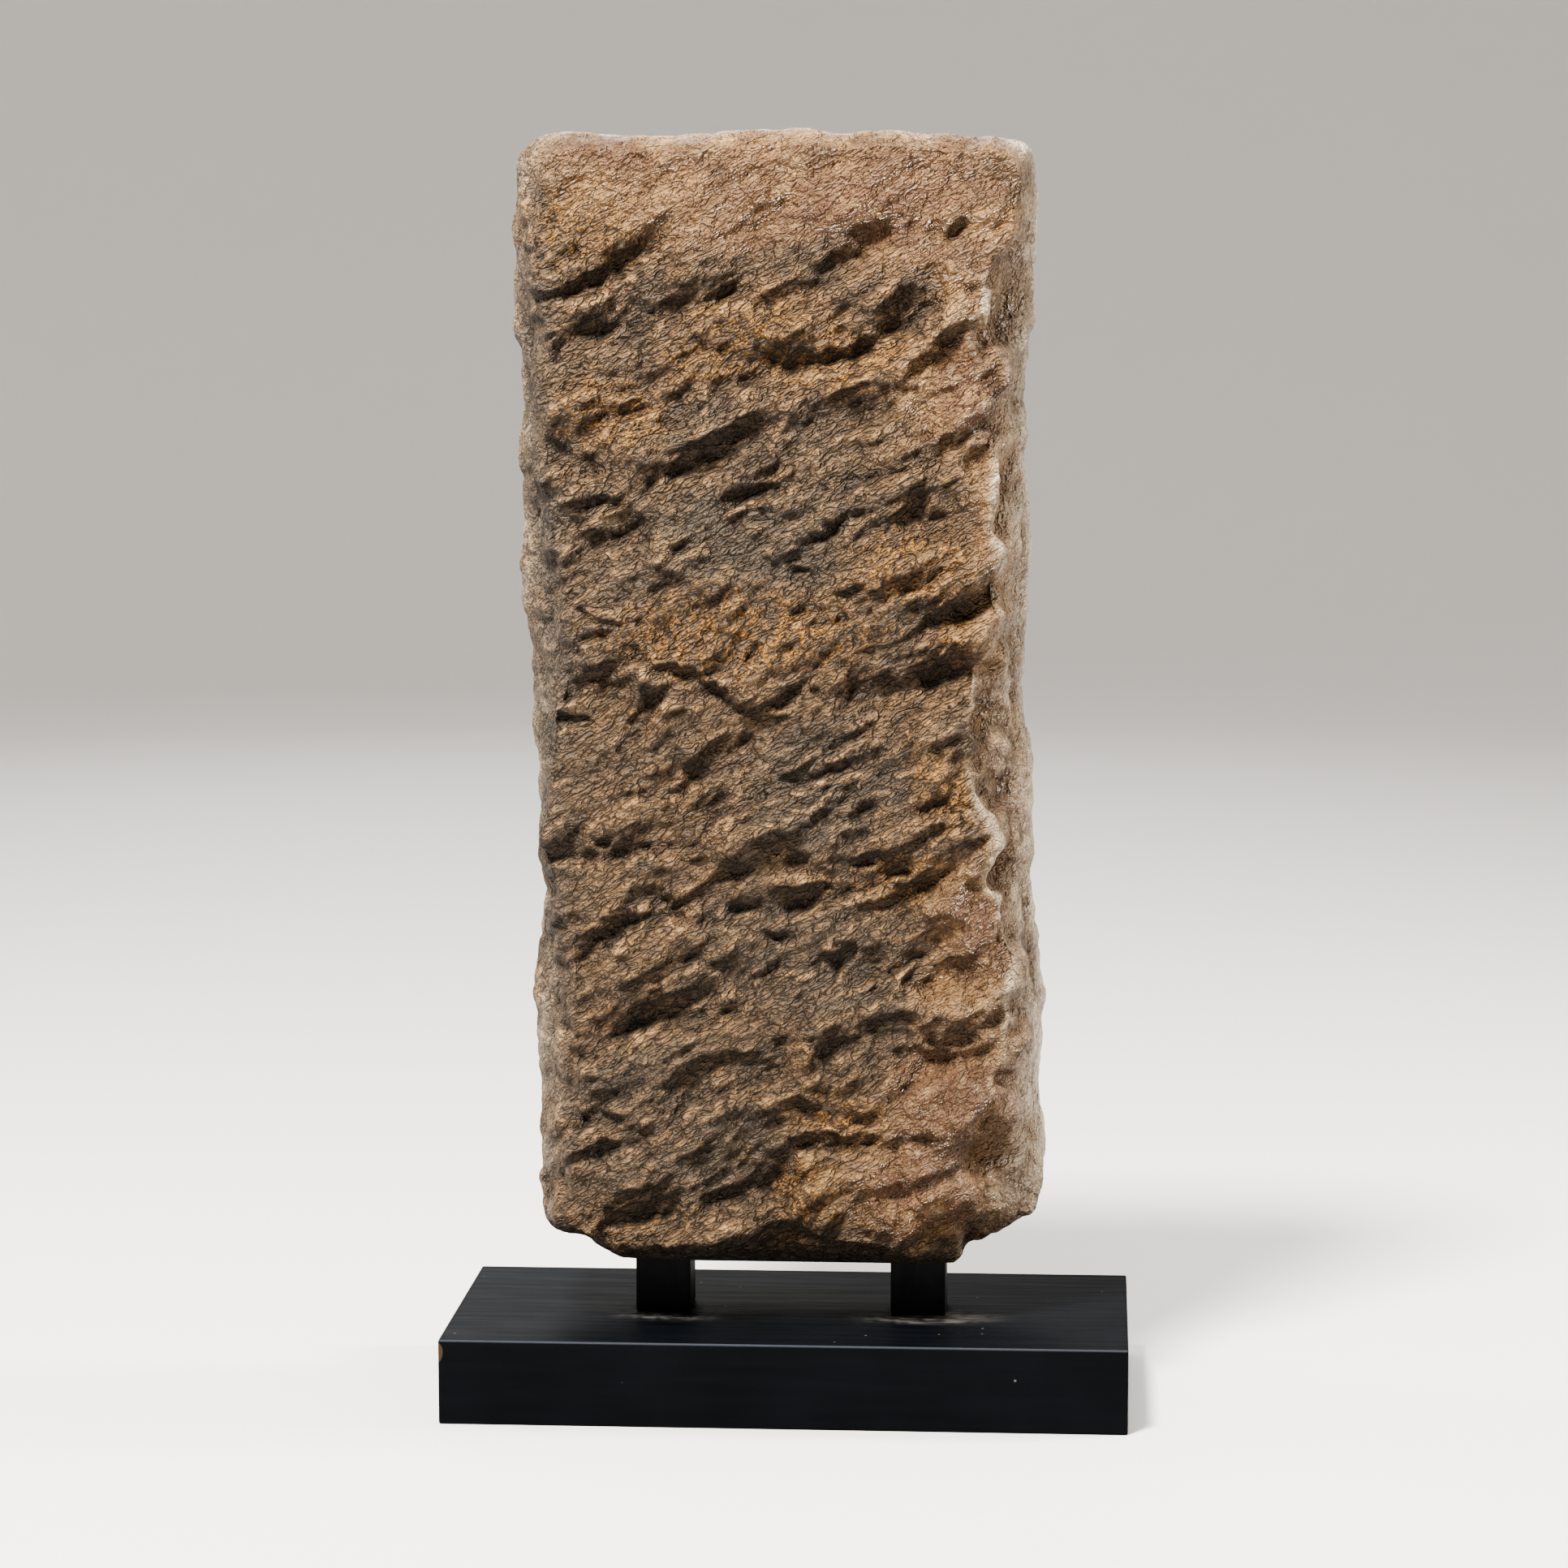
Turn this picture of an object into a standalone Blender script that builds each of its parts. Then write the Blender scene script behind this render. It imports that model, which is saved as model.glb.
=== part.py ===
"""A rough-backed alabaster stele standing on two square posts and a black plinth.

Metres, +Z up. The origin is at the middle of the plinth's underside. The rough back of the stone,
the side that is seen, faces -Y; the hidden dressed face is towards +Y. The stone is a free form,
drawn in millimetres on a block of the DRAWN sizes below and then made to its own sizes: x counts
from the middle of the posts, z from the stone's foot and y back from the front of the rough face.
"""

import math

import bpy
import numpy as np
from mathutils import noise

MM = 0.001

PLINTH_WIDTH = 0.320
PLINTH_DEPTH = 0.150
PLINTH_HEIGHT = 0.040
PLINTH_ARRIS = 0.0008

POST_SIDE = 0.026
POST_HEIGHT = 0.0265
POST_SPACING = 0.1214
POST_ARRIS = 0.0006
REST_GAP = 0.0003  # between pieces that rest on each other

STELE_WIDTH = 0.248
STELE_HEIGHT = 0.530
STELE_THICKNESS = 0.092
SEAT_MARGIN = 0.004  # flat underside left round each post's top

FACE_COLUMNS = 32
FACE_ROWS = 96
BEVEL_RINGS = 3
SIDE_RINGS = 4

DRAWN_WIDTH = 248.0
DRAWN_HEIGHT = 530.0
DRAWN_THICKNESS = 92.0
DRAWN_SHIFT = -4.8  # the stone stands a little off the middle of the posts
TOP_CORNER = 12.0  # radius of the outline's upper corners
FOOT_CORNER = 5.0
FACE_DROP = 4.0  # how far the rough face falls away towards its own edges
DRESSED_ARRIS = 3.0  # rounding of the hidden face's edges

# Depth behind the rough face at which the stone reaches its full outline, for each of its edges.
BOTTOM_TURN = 24.0
RIGHT_TURN = 40.0
TOP_TURN = 18.0
LEFT_TURN = 34.0
EDGE_BULGE = 0.2  # how much the broken edges bulge between the face and the outline

# (height, how far the edge stands in from the stone's full width)
LEFT_EDGE = [
    (0, 15), (12, 13), (28, 11.5), (40, 9.5), (55, 9.5), (75, 11), (93, 9), (113, 8.7), (138, 9.2),
    (161, 10.6), (177, 13), (185, 8.6), (192, 8), (200, 8.6), (213, 10.8), (243, 11.3), (254, 9.8),
    (273, 7.6), (293, 7.6), (308, 5), (316, 4), (327, 4.4), (351, 5.4), (376, 4.2), (399, 5.1),
    (422, 4.4), (430, 3), (437, 1.2), (464, 1), (486, 2.4), (505, 3.2), (530, 4.5),
]
RIGHT_EDGE = [
    (0, 2.5), (23, 1.4), (31, 1.2), (47, 0), (55, 0.4), (70, 3), (89, 4), (102, 3), (121, 2),
    (133, 4), (148, 3.2), (163, 6.8), (179, 7.6), (194, 5.8), (210, 7.6), (233, 6.4), (240, 7.6),
    (256, 11), (271, 12), (286, 10.3), (309, 9.6), (339, 8.4), (363, 10), (377, 12), (392, 10.2),
    (415, 11.4), (437, 9.2), (445, 6.6), (460, 7.4), (489, 7.2), (504, 6.5), (530, 6.5),
]
# (place across, how far the top edge stands below the stone's full height)
TOP_EDGE = [
    (-125, 5), (-118, 3.6), (-111, 1.2), (-103, 0.8), (-88, 1.9), (-73, 2.7), (-58, 3.8),
    (-42, 2.1), (-27, 1.1), (-12, 0), (10, 0.1), (25, 1.6), (33, 2), (48, 0.6), (63, 1.8),
    (78, 1.8), (93, 3.4), (100, 3), (108, 5), (118, 7),
]
# (share of the way from the seats to the stone's side, rise of the underside)
LEFT_FOOT = [(0, 0), (0.28, 0.5), (0.42, 3.9), (0.57, 8.5), (0.73, 11), (1, 14)]
RIGHT_FOOT = [(0, 0), (0.1, 4), (0.22, 8.5), (0.4, 13), (0.58, 16.5), (0.77, 20), (1, 24)]

# Where the rough face ends and the broken edges begin: (height, inset from the outline).
LEFT_ARRIS = [
    (20, 6), (40, 19), (60, 19), (100, 20), (130, 20), (150, 19), (170, 12), (185, 10), (200, 7),
    (215, 8), (240, 8), (260, 11), (275, 18), (300, 20), (330, 20), (345, 14), (370, 12),
    (400, 12), (420, 14), (440, 20), (460, 14), (480, 11), (500, 13), (515, 12),
]
RIGHT_ARRIS = [
    (16, 37), (46, 36), (55, 30), (65, 22), (75, 18), (90, 17), (107, 13), (130, 13), (150, 7),
    (160, 9), (174, 13), (186, 18), (204, 16), (213, 17), (220, 22), (230, 25), (240, 26),
    (250, 23), (262, 22), (275, 19), (285, 17), (300, 12), (330, 10), (350, 16), (366, 13),
    (378, 9), (395, 12), (405, 10), (415, 5), (425, 8), (437, 16), (445, 20), (460, 21),
    (470, 16), (480, 7), (500, 4), (515, 5),
]
TOP_ARRIS = 7.0
# (place across, how far the face ends above the underside)
BOTTOM_ARRIS = [
    (-112, 8), (-100, 8), (-84, 11), (-55, 11), (-45, 12), (-35, 16), (-29, 20), (-19, 21),
    (-10, 23), (8, 23.5), (16, 21), (26, 20), (31, 17), (37, 15), (50, 13), (70, 12), (80, 9),
    (112, 7),
]

# Chisel gouges: the crease's left end, its right end, its bow upwards, the width of the slope
# above it, the width of the roll below it, and its depth.
GOUGES = [
    (-101, 456, -54, 483, -6, 12, 10, 4), (-101, 435, -38, 453, -2, 13, 12, 7),
    (-51, 424, -8, 438, 1.5, 9, 7, 4), (-90, 410, -48, 419, -1, 9, 6, 4),
    (-37, 408, 24, 427, 2.5, 17, 14, 9), (8, 420, 74, 454, -2.5, 17, 14, 9),
    (-60, 396, -22, 410, -1, 9, 6, 4), (4, 452, 54, 488, 2, 9, 14, 4.5),
    (-24, 480, 6, 494, 2.5, 7, 8, 3), (54, 447, 74, 460, -3, 10, 6, 3.5),
    (50, 413, 101, 441, 6.5, 7, 32, 8), (-6, 393, 72, 419, -4.5, 14, 18, 7),
    (-56, 370, 8, 400, 5, 7, 14, 5), (-109, 385, -74, 373, -0.5, 4, 9, 3),
    (-107, 355, -73, 360, 2, 4, 8, 3.5), (-102, 336, -56, 352, 0, 12, 12, 5),
    (-26, 359, 14, 371, 0.5, 8, 8, 4), (60, 378, 101, 396, 1.5, 8, 8, 4.5),
    (38, 346, 98, 360, 0, 15, 14, 5), (12, 348, 44, 359, -1.5, 8, 5, 5),
    (4, 341, 34, 352, -0.5, 6, 6, 4), (46, 321, 80, 333, -3, 7, 4, 3),
    (62, 300, 102, 321, 2, 6, 12, 4), (28, 268, 98, 285, -0.5, 15, 22, 8),
    (-104, 268, -68, 277, 0.5, 10, 8, 4.5), (-72, 288, -38, 279, 1, 3, 7, 3),
    (-123, 313, -102, 320, 1, 7, 7, 3), (-68, 226, 10, 267, -2, 14, 24, 6),
    (-77, 247, -56, 270, 0, 6, 5, 4), (-41, 277, -13, 259, 0, 5, 8, 5),
    (-15, 259, 13, 278, 0, 5, 8, 5), (17, 241, 50, 263, 0, 9, 6, 4),
    (-3, 230, 48, 245, -3, 8, 7, 4.5), (-3, 217, 36, 234, -1, 5, 5, 3),
    (14, 209, 48, 222, 1, 6, 6, 3), (24, 203, 68, 218, 1, 8, 10, 4),
    (58, 215, 84, 222, 0, 14, 4, 5), (54, 257, 84, 269, 0.5, 8, 6, 4),
    (-117, 192, -88, 195, 3, 12, 6, 5), (-90, 192, -38, 200, 4.5, 7, 5, 3.5),
    (-76, 174, -40, 163, 6.5, 6, 8, 4), (-42, 163, -6, 172, 1.5, 6, 8, 4),
    (-1, 170, 67, 194, -1, 9, 6, 5), (33, 170, 80, 192, -3, 8, 12, 6),
    (-100, 147, -68, 169, 0, 9, 13, 6), (52, 135, 98, 140, 0, 28, 8, 6),
    (26, 136, 74, 158, -5, 12, 8, 7), (-25, 134, 34, 148, 3, 7, 12, 5),
    (-104, 97, -30, 125, 4.5, 15, 14, 8), (-54, 78, 10, 105, -3, 12, 14, 4.5),
    (10, 100, 66, 121, 5, 9, 12, 6), (50, 98, 108, 108, -1, 9, 10, 6),
    (-106, 70, -68, 73, -2, 5, 9, 4), (-4, 59, 46, 65, -2, 8, 8, 5),
    (38, 58, 70, 65, -0.5, 5, 8, 3), (-39, 29, 10, 47, 1.5, 22, 12, 6),
    (-91, 14, -48, 25, 4.5, 9, 10, 5),
]
# Swellings left between the gouges: centre, half width, half height, rise.
LUMPS = [
    (-88, 487, 26, 13, 2), (24, 496, 22, 14, 2), (65, 330, 26, 12, 2), (86, 299, 12, 9, 3),
    (71, 231, 10, 10, 2.5), (85, 126, 14, 8, 3), (25, 66, 10, 6, 2), (12, 38, 14, 14, 3.5),
    (60, 34, 26, 16, 3),
]
# Scars and holes broken out of the right-hand arris: centre, half width, half height, depth.
SCARS = [
    (95, 59, 13, 15, 7), (104, 34, 12, 14, 4), (99, 190, 9, 9, 5), (98, 227, 8, 9, 5),
    (95, 258, 8, 9, 5), (101, 92, 4, 5, 4), (104, 152, 8, 16, 4), (104, 122, 8, 10, 3),
    (101, 320, 8, 12, 3), (102, 362, 7, 10, 3), (102, 404, 8, 12, 3), (103, 448, 8, 13, 4),
    (103, 300, 8, 8, 3),
]
SCAR_REACH = 70.0  # depth behind the face at which the scars have run out
SCAR_FADE = 30.0

BASE_CUT = 2.5  # the flattest places lie this far behind the highest ones
WAVE_CUT = 1.5  # height of the slow swells across the face
WAVE_LENGTH = 70.0
SIDE_ROUGHNESS = 1.0  # depth of the shallow hollows in the sides
SIDE_GRAIN = 26.0


def clear_scene():
    for old in list(bpy.data.objects):
        bpy.data.objects.remove(old)


def paint(name, colour, roughness, metallic=0.0):
    material = bpy.data.materials.new(name)
    material.use_nodes = True
    shader = material.node_tree.nodes["Principled BSDF"]
    shader.inputs["Base Color"].default_value = (*colour, 1)
    shader.inputs["Roughness"].default_value = roughness
    shader.inputs["Metallic"].default_value = metallic
    return material


def add_object(name, mesh, material):
    made = bpy.data.objects.new(name, mesh)
    mesh.materials.append(material)
    bpy.context.scene.collection.objects.link(made)
    return made


def block(name, size, foot, arris, material):
    """A square-edged block of this size, standing on foot, with its edges just broken."""
    half_x, half_y = size[0] / 2, size[1] / 2
    corners = [(-half_x, -half_y), (half_x, -half_y), (half_x, half_y), (-half_x, half_y)]
    points = [(x, y, z) for z in (0, size[2]) for x, y in corners]
    sides = [(i, (i + 1) % 4, (i + 1) % 4 + 4, i + 4) for i in range(4)]
    mesh = bpy.data.meshes.new(name)
    mesh.from_pydata(points, [], [(3, 2, 1, 0), (4, 5, 6, 7), *sides])
    made = add_object(name, mesh, material)
    made.location = foot
    bevel = made.modifiers.new("Arris", "BEVEL")
    bevel.width = arris
    bevel.segments = 2
    bevel.limit_method = "ANGLE"
    return made


def read(rows, at):
    """The second column of a table of millimetres at each place, in a straight line between rows."""
    places, values = zip(*rows)
    return np.interp(at, places, values)


def smooth_step(share):
    share = np.clip(share, 0, 1)
    return share * share * (3 - 2 * share)


def gouge_cut(x, z, gouge):
    """Depth of one gouge: a slope down to its crease, and a roll back out below it."""
    x0, z0, x1, z1, bow, up, down, depth = gouge
    along = (x - x0) / (x1 - x0)
    crease = z0 + (z1 - z0) * along + 4 * bow * along * (1 - along)
    below = (crease - z) * (x1 - x0) / math.hypot(x1 - x0, z1 - z0)
    slope = np.clip(1 + below / up, 0, 1) ** 1.2
    roll = np.clip(1 - below / down, 0, 1) ** 2
    ends = np.clip(1 - (2 * along - 1) ** 4, 0, 1)
    return depth * ends * np.where(below < 0, slope, roll)


def face_cut(x, z):
    """How far the rough face is cut back at these millimetre places."""
    cut = np.zeros_like(x)
    for gouge in GOUGES:
        cut = np.maximum(cut, gouge_cut(x, z, gouge))
    for centre_x, centre_z, half_x, half_z, rise in LUMPS:
        away = np.hypot((x - centre_x) / half_x, (z - centre_z) / half_z)
        cut -= rise * smooth_step(1 - away / 1.4)
    waves = np.sin(x / WAVE_LENGTH * 5 + z / WAVE_LENGTH * 2) + np.sin(z / WAVE_LENGTH * 4.1 - 1)
    return np.maximum(cut + BASE_CUT + WAVE_CUT * waves / 2, 0)


def scar_cut(x, z):
    """Depth of the hollows broken out of the right-hand arris."""
    cut = np.zeros_like(x)
    for centre_x, centre_z, half_x, half_z, depth in SCARS:
        away = np.hypot((x - centre_x) / half_x, (z - centre_z) / half_z)
        cut = np.maximum(cut, depth * smooth_step(1.4 - away))
    return cut


def rounded(across, up):
    """Pulls the corners of the square -1..1 into arcs, so that the stone's corners are round."""
    radius = np.where(up > 0, TOP_CORNER, FOOT_CORNER)
    share_x, share_z = radius / (DRAWN_WIDTH / 2), radius / (DRAWN_HEIGHT / 2)
    from_x = (np.abs(across) - (1 - share_x)) / share_x
    from_z = (np.abs(up) - (1 - share_z)) / share_z
    inside = (from_x > 0) & (from_z > 0)
    reach = np.where(inside, np.maximum(from_x, from_z) / np.hypot(from_x, from_z), 1.0)
    across = np.where(inside, np.sign(across) * (1 - share_x * (1 - from_x * reach)), across)
    up = np.where(inside, np.sign(up) * (1 - share_z * (1 - from_z * reach)), up)
    return across, up


def outline(across, up, inset):
    """Places on the stone's outline, or inside it, from places in the square -1..1.

    inset gives how far the left, right, bottom and top edges stand in from the outline.
    """
    across, up = rounded(across, up)
    half = DRAWN_WIDTH / 2
    x = DRAWN_SHIFT + across * half
    seat = (POST_SPACING / 2 + POST_SIDE / 2 + SEAT_MARGIN) * DRAWN_WIDTH / STELE_WIDTH
    left_way = np.clip((-x - seat) / (half - DRAWN_SHIFT - seat), 0, 1)
    right_way = np.clip((x - seat) / (half + DRAWN_SHIFT - seat), 0, 1)
    low = read(LEFT_FOOT, left_way) + read(RIGHT_FOOT, right_way)
    low = low + inset["bottom"](x)
    high = DRAWN_HEIGHT - read(TOP_EDGE, x) - inset["top"](x)
    z = low + (high - low) * (up + 1) / 2
    left = DRAWN_SHIFT - half + read(LEFT_EDGE, z) + inset["left"](z)
    right = DRAWN_SHIFT + half - read(RIGHT_EDGE, z) - inset["right"](z)
    return left + (right - left) * (across + 1) / 2, z


FACE_INSET = {
    "left": lambda z: read(LEFT_ARRIS, z),
    "right": lambda z: read(RIGHT_ARRIS, z),
    "bottom": lambda x: read(BOTTOM_ARRIS, x),
    "top": lambda x: TOP_ARRIS,
}
NO_INSET = dict.fromkeys(FACE_INSET, lambda at: 0)
DRESSED_INSET = dict.fromkeys(FACE_INSET, lambda at: DRESSED_ARRIS)


def perimeter(columns, rows):
    """Places round the square -1..1, anticlockwise from its lower left corner."""
    run, climb = np.linspace(-1, 1, columns + 1)[:-1], np.linspace(-1, 1, rows + 1)[:-1]
    across = np.concatenate([run, np.ones(rows), -run, -np.ones(rows)])
    up = np.concatenate([-np.ones(columns), climb, np.ones(columns), -climb])
    return across, up


def turn_depths(columns, rows):
    """The depth of the full outline behind the rough face, round the perimeter."""
    depths = np.repeat([BOTTOM_TURN, RIGHT_TURN, TOP_TURN, LEFT_TURN], [columns, rows] * 2)
    reach = columns // 4
    wrapped = np.concatenate([depths[-reach:], depths, depths[:reach]])
    return np.convolve(wrapped, np.ones(2 * reach + 1) / (2 * reach + 1), "valid")


def face_depth(across, up, x, z):
    """Depth of the rough face, from the front of the stone."""
    edge = np.maximum(np.abs(across), np.abs(up))
    return face_cut(x, z) + FACE_DROP * edge**8


def stone_loops(columns, rows):
    """Loops of points from the rough face's edge round to the dressed face's."""
    across, up = perimeter(columns, rows)
    face_x, face_z = outline(across, up, FACE_INSET)
    face_y = face_depth(across, up, face_x, face_z)
    full_x, full_z = outline(across, up, NO_INSET)
    full_y = turn_depths(columns, rows)
    loops = [(face_x, face_y, face_z)]
    for ring in range(1, BEVEL_RINGS + 1):
        share = ring / BEVEL_RINGS
        bulge = share * (1 - share) * EDGE_BULGE
        out = share + bulge
        back = share - bulge
        loops.append(
            (
                face_x + (full_x - face_x) * out,
                face_y + (full_y - face_y) * back,
                face_z + (full_z - face_z) * out,
            )
        )
    for ring in range(1, SIDE_RINGS + 1):
        share = ring / SIDE_RINGS
        loops.append((full_x, full_y + (DRAWN_THICKNESS - DRESSED_ARRIS - full_y) * share, full_z))
    far_x, far_z = outline(across, up, DRESSED_INSET)
    loops.append((far_x, np.full_like(far_x, DRAWN_THICKNESS), far_z))
    return loops


def strip(first, second):
    """Faces between two closed loops of vertex numbers; the second has as many or half as many."""
    count, faces = len(second), []
    halved = len(first) == 2 * count
    for here in range(count):
        after = (here + 1) % count
        if halved:
            a, b, c = first[2 * here], first[2 * here + 1], first[(2 * here + 2) % len(first)]
            faces += [(a, second[here], b), (b, second[here], second[after]), (b, second[after], c)]
        else:
            faces.append((first[here], second[here], second[after], first[after]))
    return faces


def grid_faces(numbers, towards_viewer):
    faces = []
    for i in range(numbers.shape[0] - 1):
        for j in range(numbers.shape[1] - 1):
            face = (numbers[i, j], numbers[i + 1, j], numbers[i + 1, j + 1], numbers[i, j + 1])
            faces.append(face if towards_viewer else face[::-1])
    return faces


def grid_rim(numbers):
    """The grid's border, anticlockwise from its lower left corner."""
    return [
        *numbers[:-1, 0], *numbers[-1, :-1], *numbers[:0:-1, -1], *numbers[0, :0:-1],
    ]


def stone_mesh():
    """The stone's points, y counting back from the front, and its faces."""
    points, faces = [], []

    def add(x, y, z):
        start = len(points)
        points.extend(zip(x.ravel(), y.ravel(), z.ravel()))
        return np.arange(start, start + x.size).reshape(x.shape)

    across, up = np.meshgrid(
        np.linspace(-1, 1, FACE_COLUMNS + 1), np.linspace(-1, 1, FACE_ROWS + 1), indexing="ij"
    )
    x, z = outline(across, up, FACE_INSET)
    face = add(x, face_depth(across, up, x, z), z)
    faces += grid_faces(face, True)
    last = grid_rim(face)
    loops = stone_loops(FACE_COLUMNS, FACE_ROWS)
    for number, (x, y, z) in enumerate(loops[1:-1], start=1):
        step = 1 if number <= BEVEL_RINGS else 2
        loop = list(add(x[::step], y[::step], z[::step]))
        faces += strip(last, loop)
        last = loop
    columns, rows = FACE_COLUMNS // 4, FACE_ROWS // 4
    across, up = np.meshgrid(
        np.linspace(-1, 1, columns + 1), np.linspace(-1, 1, rows + 1), indexing="ij"
    )
    x, z = outline(across, up, DRESSED_INSET)
    dressed = add(x, np.full_like(x, DRAWN_THICKNESS), z)
    faces += strip(last, grid_rim(dressed))
    faces += grid_faces(dressed, False)
    return np.array(points), faces


def roughen(mesh, foot, scars):
    """Breaks up the edges and sides, and leaves the dressed face and the foot flat.

    scars gives how deep each point lies in a scar, on top of the shallow hollows.
    """
    back = STELE_THICKNESS / 2
    normals = [vertex.normal.copy() for vertex in mesh.vertices]
    for vertex, normal, scar in zip(mesh.vertices, normals, scars):
        lifted = smooth_step((vertex.co.z - foot) / (12 * MM))
        before = smooth_step((back - vertex.co.y) / (8 * MM))
        hollow = noise.noise(vertex.co / (SIDE_GRAIN * MM)) * SIDE_ROUGHNESS
        vertex.co -= normal * float((hollow + scar) * lifted * before * MM)


def make_stele(material):
    points, faces = stone_mesh()
    reach = np.clip((SCAR_REACH - points[:, 1]) / SCAR_FADE, 0, 1)
    scars = scar_cut(points[:, 0], points[:, 2]) * reach
    foot = PLINTH_HEIGHT + POST_HEIGHT + 2 * REST_GAP
    made = np.array([STELE_WIDTH, STELE_THICKNESS, STELE_HEIGHT])
    drawn = np.array([DRAWN_WIDTH, DRAWN_THICKNESS, DRAWN_HEIGHT])
    points = points * made / drawn + np.array([0, -STELE_THICKNESS / 2, foot])
    mesh = bpy.data.meshes.new("stele")
    mesh.from_pydata(points.tolist(), [], [tuple(int(n) for n in face) for face in faces])
    roughen(mesh, foot, scars)
    mesh.validate()
    return add_object("stele", mesh, material)


def make_part():
    clear_scene()
    black_paint = paint("black paint", (0.014, 0.016, 0.020), 0.55)
    black_steel = paint("blackened steel", (0.016, 0.017, 0.020), 0.5, 0.6)
    alabaster = paint("weathered alabaster", (0.42, 0.29, 0.19), 0.62)
    block("plinth", (PLINTH_WIDTH, PLINTH_DEPTH, PLINTH_HEIGHT), (0, 0, 0), PLINTH_ARRIS, black_paint)
    for name, side in (("post_left", -1), ("post_right", 1)):
        foot = (side * POST_SPACING / 2, 0, PLINTH_HEIGHT + REST_GAP)
        block(name, (POST_SIDE, POST_SIDE, POST_HEIGHT), foot, POST_ARRIS, black_steel)
    make_stele(alabaster)


make_part()
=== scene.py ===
"""A rough-backed alabaster stele on two short posts and a black plinth, in soft studio light.

The stone is a free form drawn in millimetres: x counts from the middle of the posts, z from the
stone's foot and y back from the front of the rough face. It is then set on the posts' tops.
"""

import itertools
import math
from types import SimpleNamespace

import bpy
import numpy as np
from mathutils import Matrix, Vector

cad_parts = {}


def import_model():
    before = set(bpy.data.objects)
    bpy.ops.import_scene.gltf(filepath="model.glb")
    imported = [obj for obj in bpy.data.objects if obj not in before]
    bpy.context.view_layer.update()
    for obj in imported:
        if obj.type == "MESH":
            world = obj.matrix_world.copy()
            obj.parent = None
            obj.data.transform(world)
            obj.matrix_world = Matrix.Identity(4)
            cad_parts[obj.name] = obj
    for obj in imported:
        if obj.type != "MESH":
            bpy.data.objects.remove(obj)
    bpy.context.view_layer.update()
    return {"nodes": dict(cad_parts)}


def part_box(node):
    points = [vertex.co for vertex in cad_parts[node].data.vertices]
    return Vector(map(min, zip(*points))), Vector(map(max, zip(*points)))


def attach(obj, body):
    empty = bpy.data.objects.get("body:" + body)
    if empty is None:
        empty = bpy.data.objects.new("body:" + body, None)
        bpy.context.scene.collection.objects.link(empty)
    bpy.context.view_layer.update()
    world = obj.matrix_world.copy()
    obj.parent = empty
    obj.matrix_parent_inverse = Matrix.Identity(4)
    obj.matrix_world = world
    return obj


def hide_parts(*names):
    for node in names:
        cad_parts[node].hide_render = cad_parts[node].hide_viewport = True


MM = 0.001

# The stone
REST_GAP = 0.0003
SEAT_MARGIN = 4.0
STONE_WIDTH = 248.0
STONE_HEIGHT = 530.0
STONE_THICKNESS = 92.0
STONE_SHIFT = -4.8
TOP_CORNER = 12.0
FOOT_CORNER = 5.0
FACE_DROP = 4.0
DRESSED_ARRIS = 3.0
BOTTOM_TURN = 24.0
RIGHT_TURN = 40.0
TOP_TURN = 18.0
LEFT_TURN = 34.0
EDGE_BULGE = 0.2
FOOT_FADE = 10.0  # the cutting dies out towards the stone's foot and before its dressed face
BACK_FADE = 8.0

FACE_COLUMNS = 160
FACE_ROWS = 396
BEVEL_RINGS = 16
SIDE_RINGS = 17

# (height, how far the edge stands in from the stone's full width)
LEFT_EDGE = [
    (0, 15), (12, 13), (28, 11.5), (40, 9.5), (55, 9.5), (75, 11), (93, 9), (113, 8.7), (138, 9.2),
    (161, 10.6), (177, 13), (185, 8.6), (192, 8), (200, 8.6), (213, 10.8), (243, 11.3), (254, 9.8),
    (273, 7.6), (293, 7.6), (308, 5), (316, 4), (327, 4.4), (351, 5.4), (376, 4.2), (399, 5.1),
    (422, 4.4), (430, 3), (437, 1.2), (464, 1), (486, 2.4), (505, 3.2), (530, 4.5),
]
RIGHT_EDGE = [
    (0, 2.5), (23, 1.4), (31, 1.2), (47, 0), (55, 0.4), (70, 3), (89, 4), (102, 3), (121, 2),
    (133, 4), (148, 3.2), (163, 6.8), (179, 7.6), (194, 5.8), (210, 7.6), (233, 6.4), (240, 7.6),
    (256, 11), (271, 12), (286, 10.3), (309, 9.6), (339, 8.4), (363, 10), (377, 12), (392, 10.2),
    (415, 11.4), (437, 9.2), (445, 6.6), (460, 7.4), (489, 7.2), (504, 6.5), (530, 6.5),
]
# (place across, how far the top edge stands below the stone's full height)
TOP_EDGE = [
    (-125, 5), (-118, 3.6), (-111, 1.2), (-103, 0.8), (-88, 1.9), (-73, 2.7), (-58, 3.8),
    (-42, 2.1), (-27, 1.1), (-12, 0), (10, 0.1), (25, 1.6), (33, 2), (48, 0.6), (63, 1.8),
    (78, 1.8), (93, 3.4), (100, 3), (108, 5), (118, 7),
]
# (share of the way from the seats to the stone's side, rise of the underside)
LEFT_FOOT = [(0, 0), (0.28, 0.5), (0.42, 3.9), (0.57, 8.5), (0.73, 11), (1, 14)]
RIGHT_FOOT = [(0, 0), (0.1, 4), (0.22, 8.5), (0.4, 13), (0.58, 16.5), (0.77, 20), (1, 24)]

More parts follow.
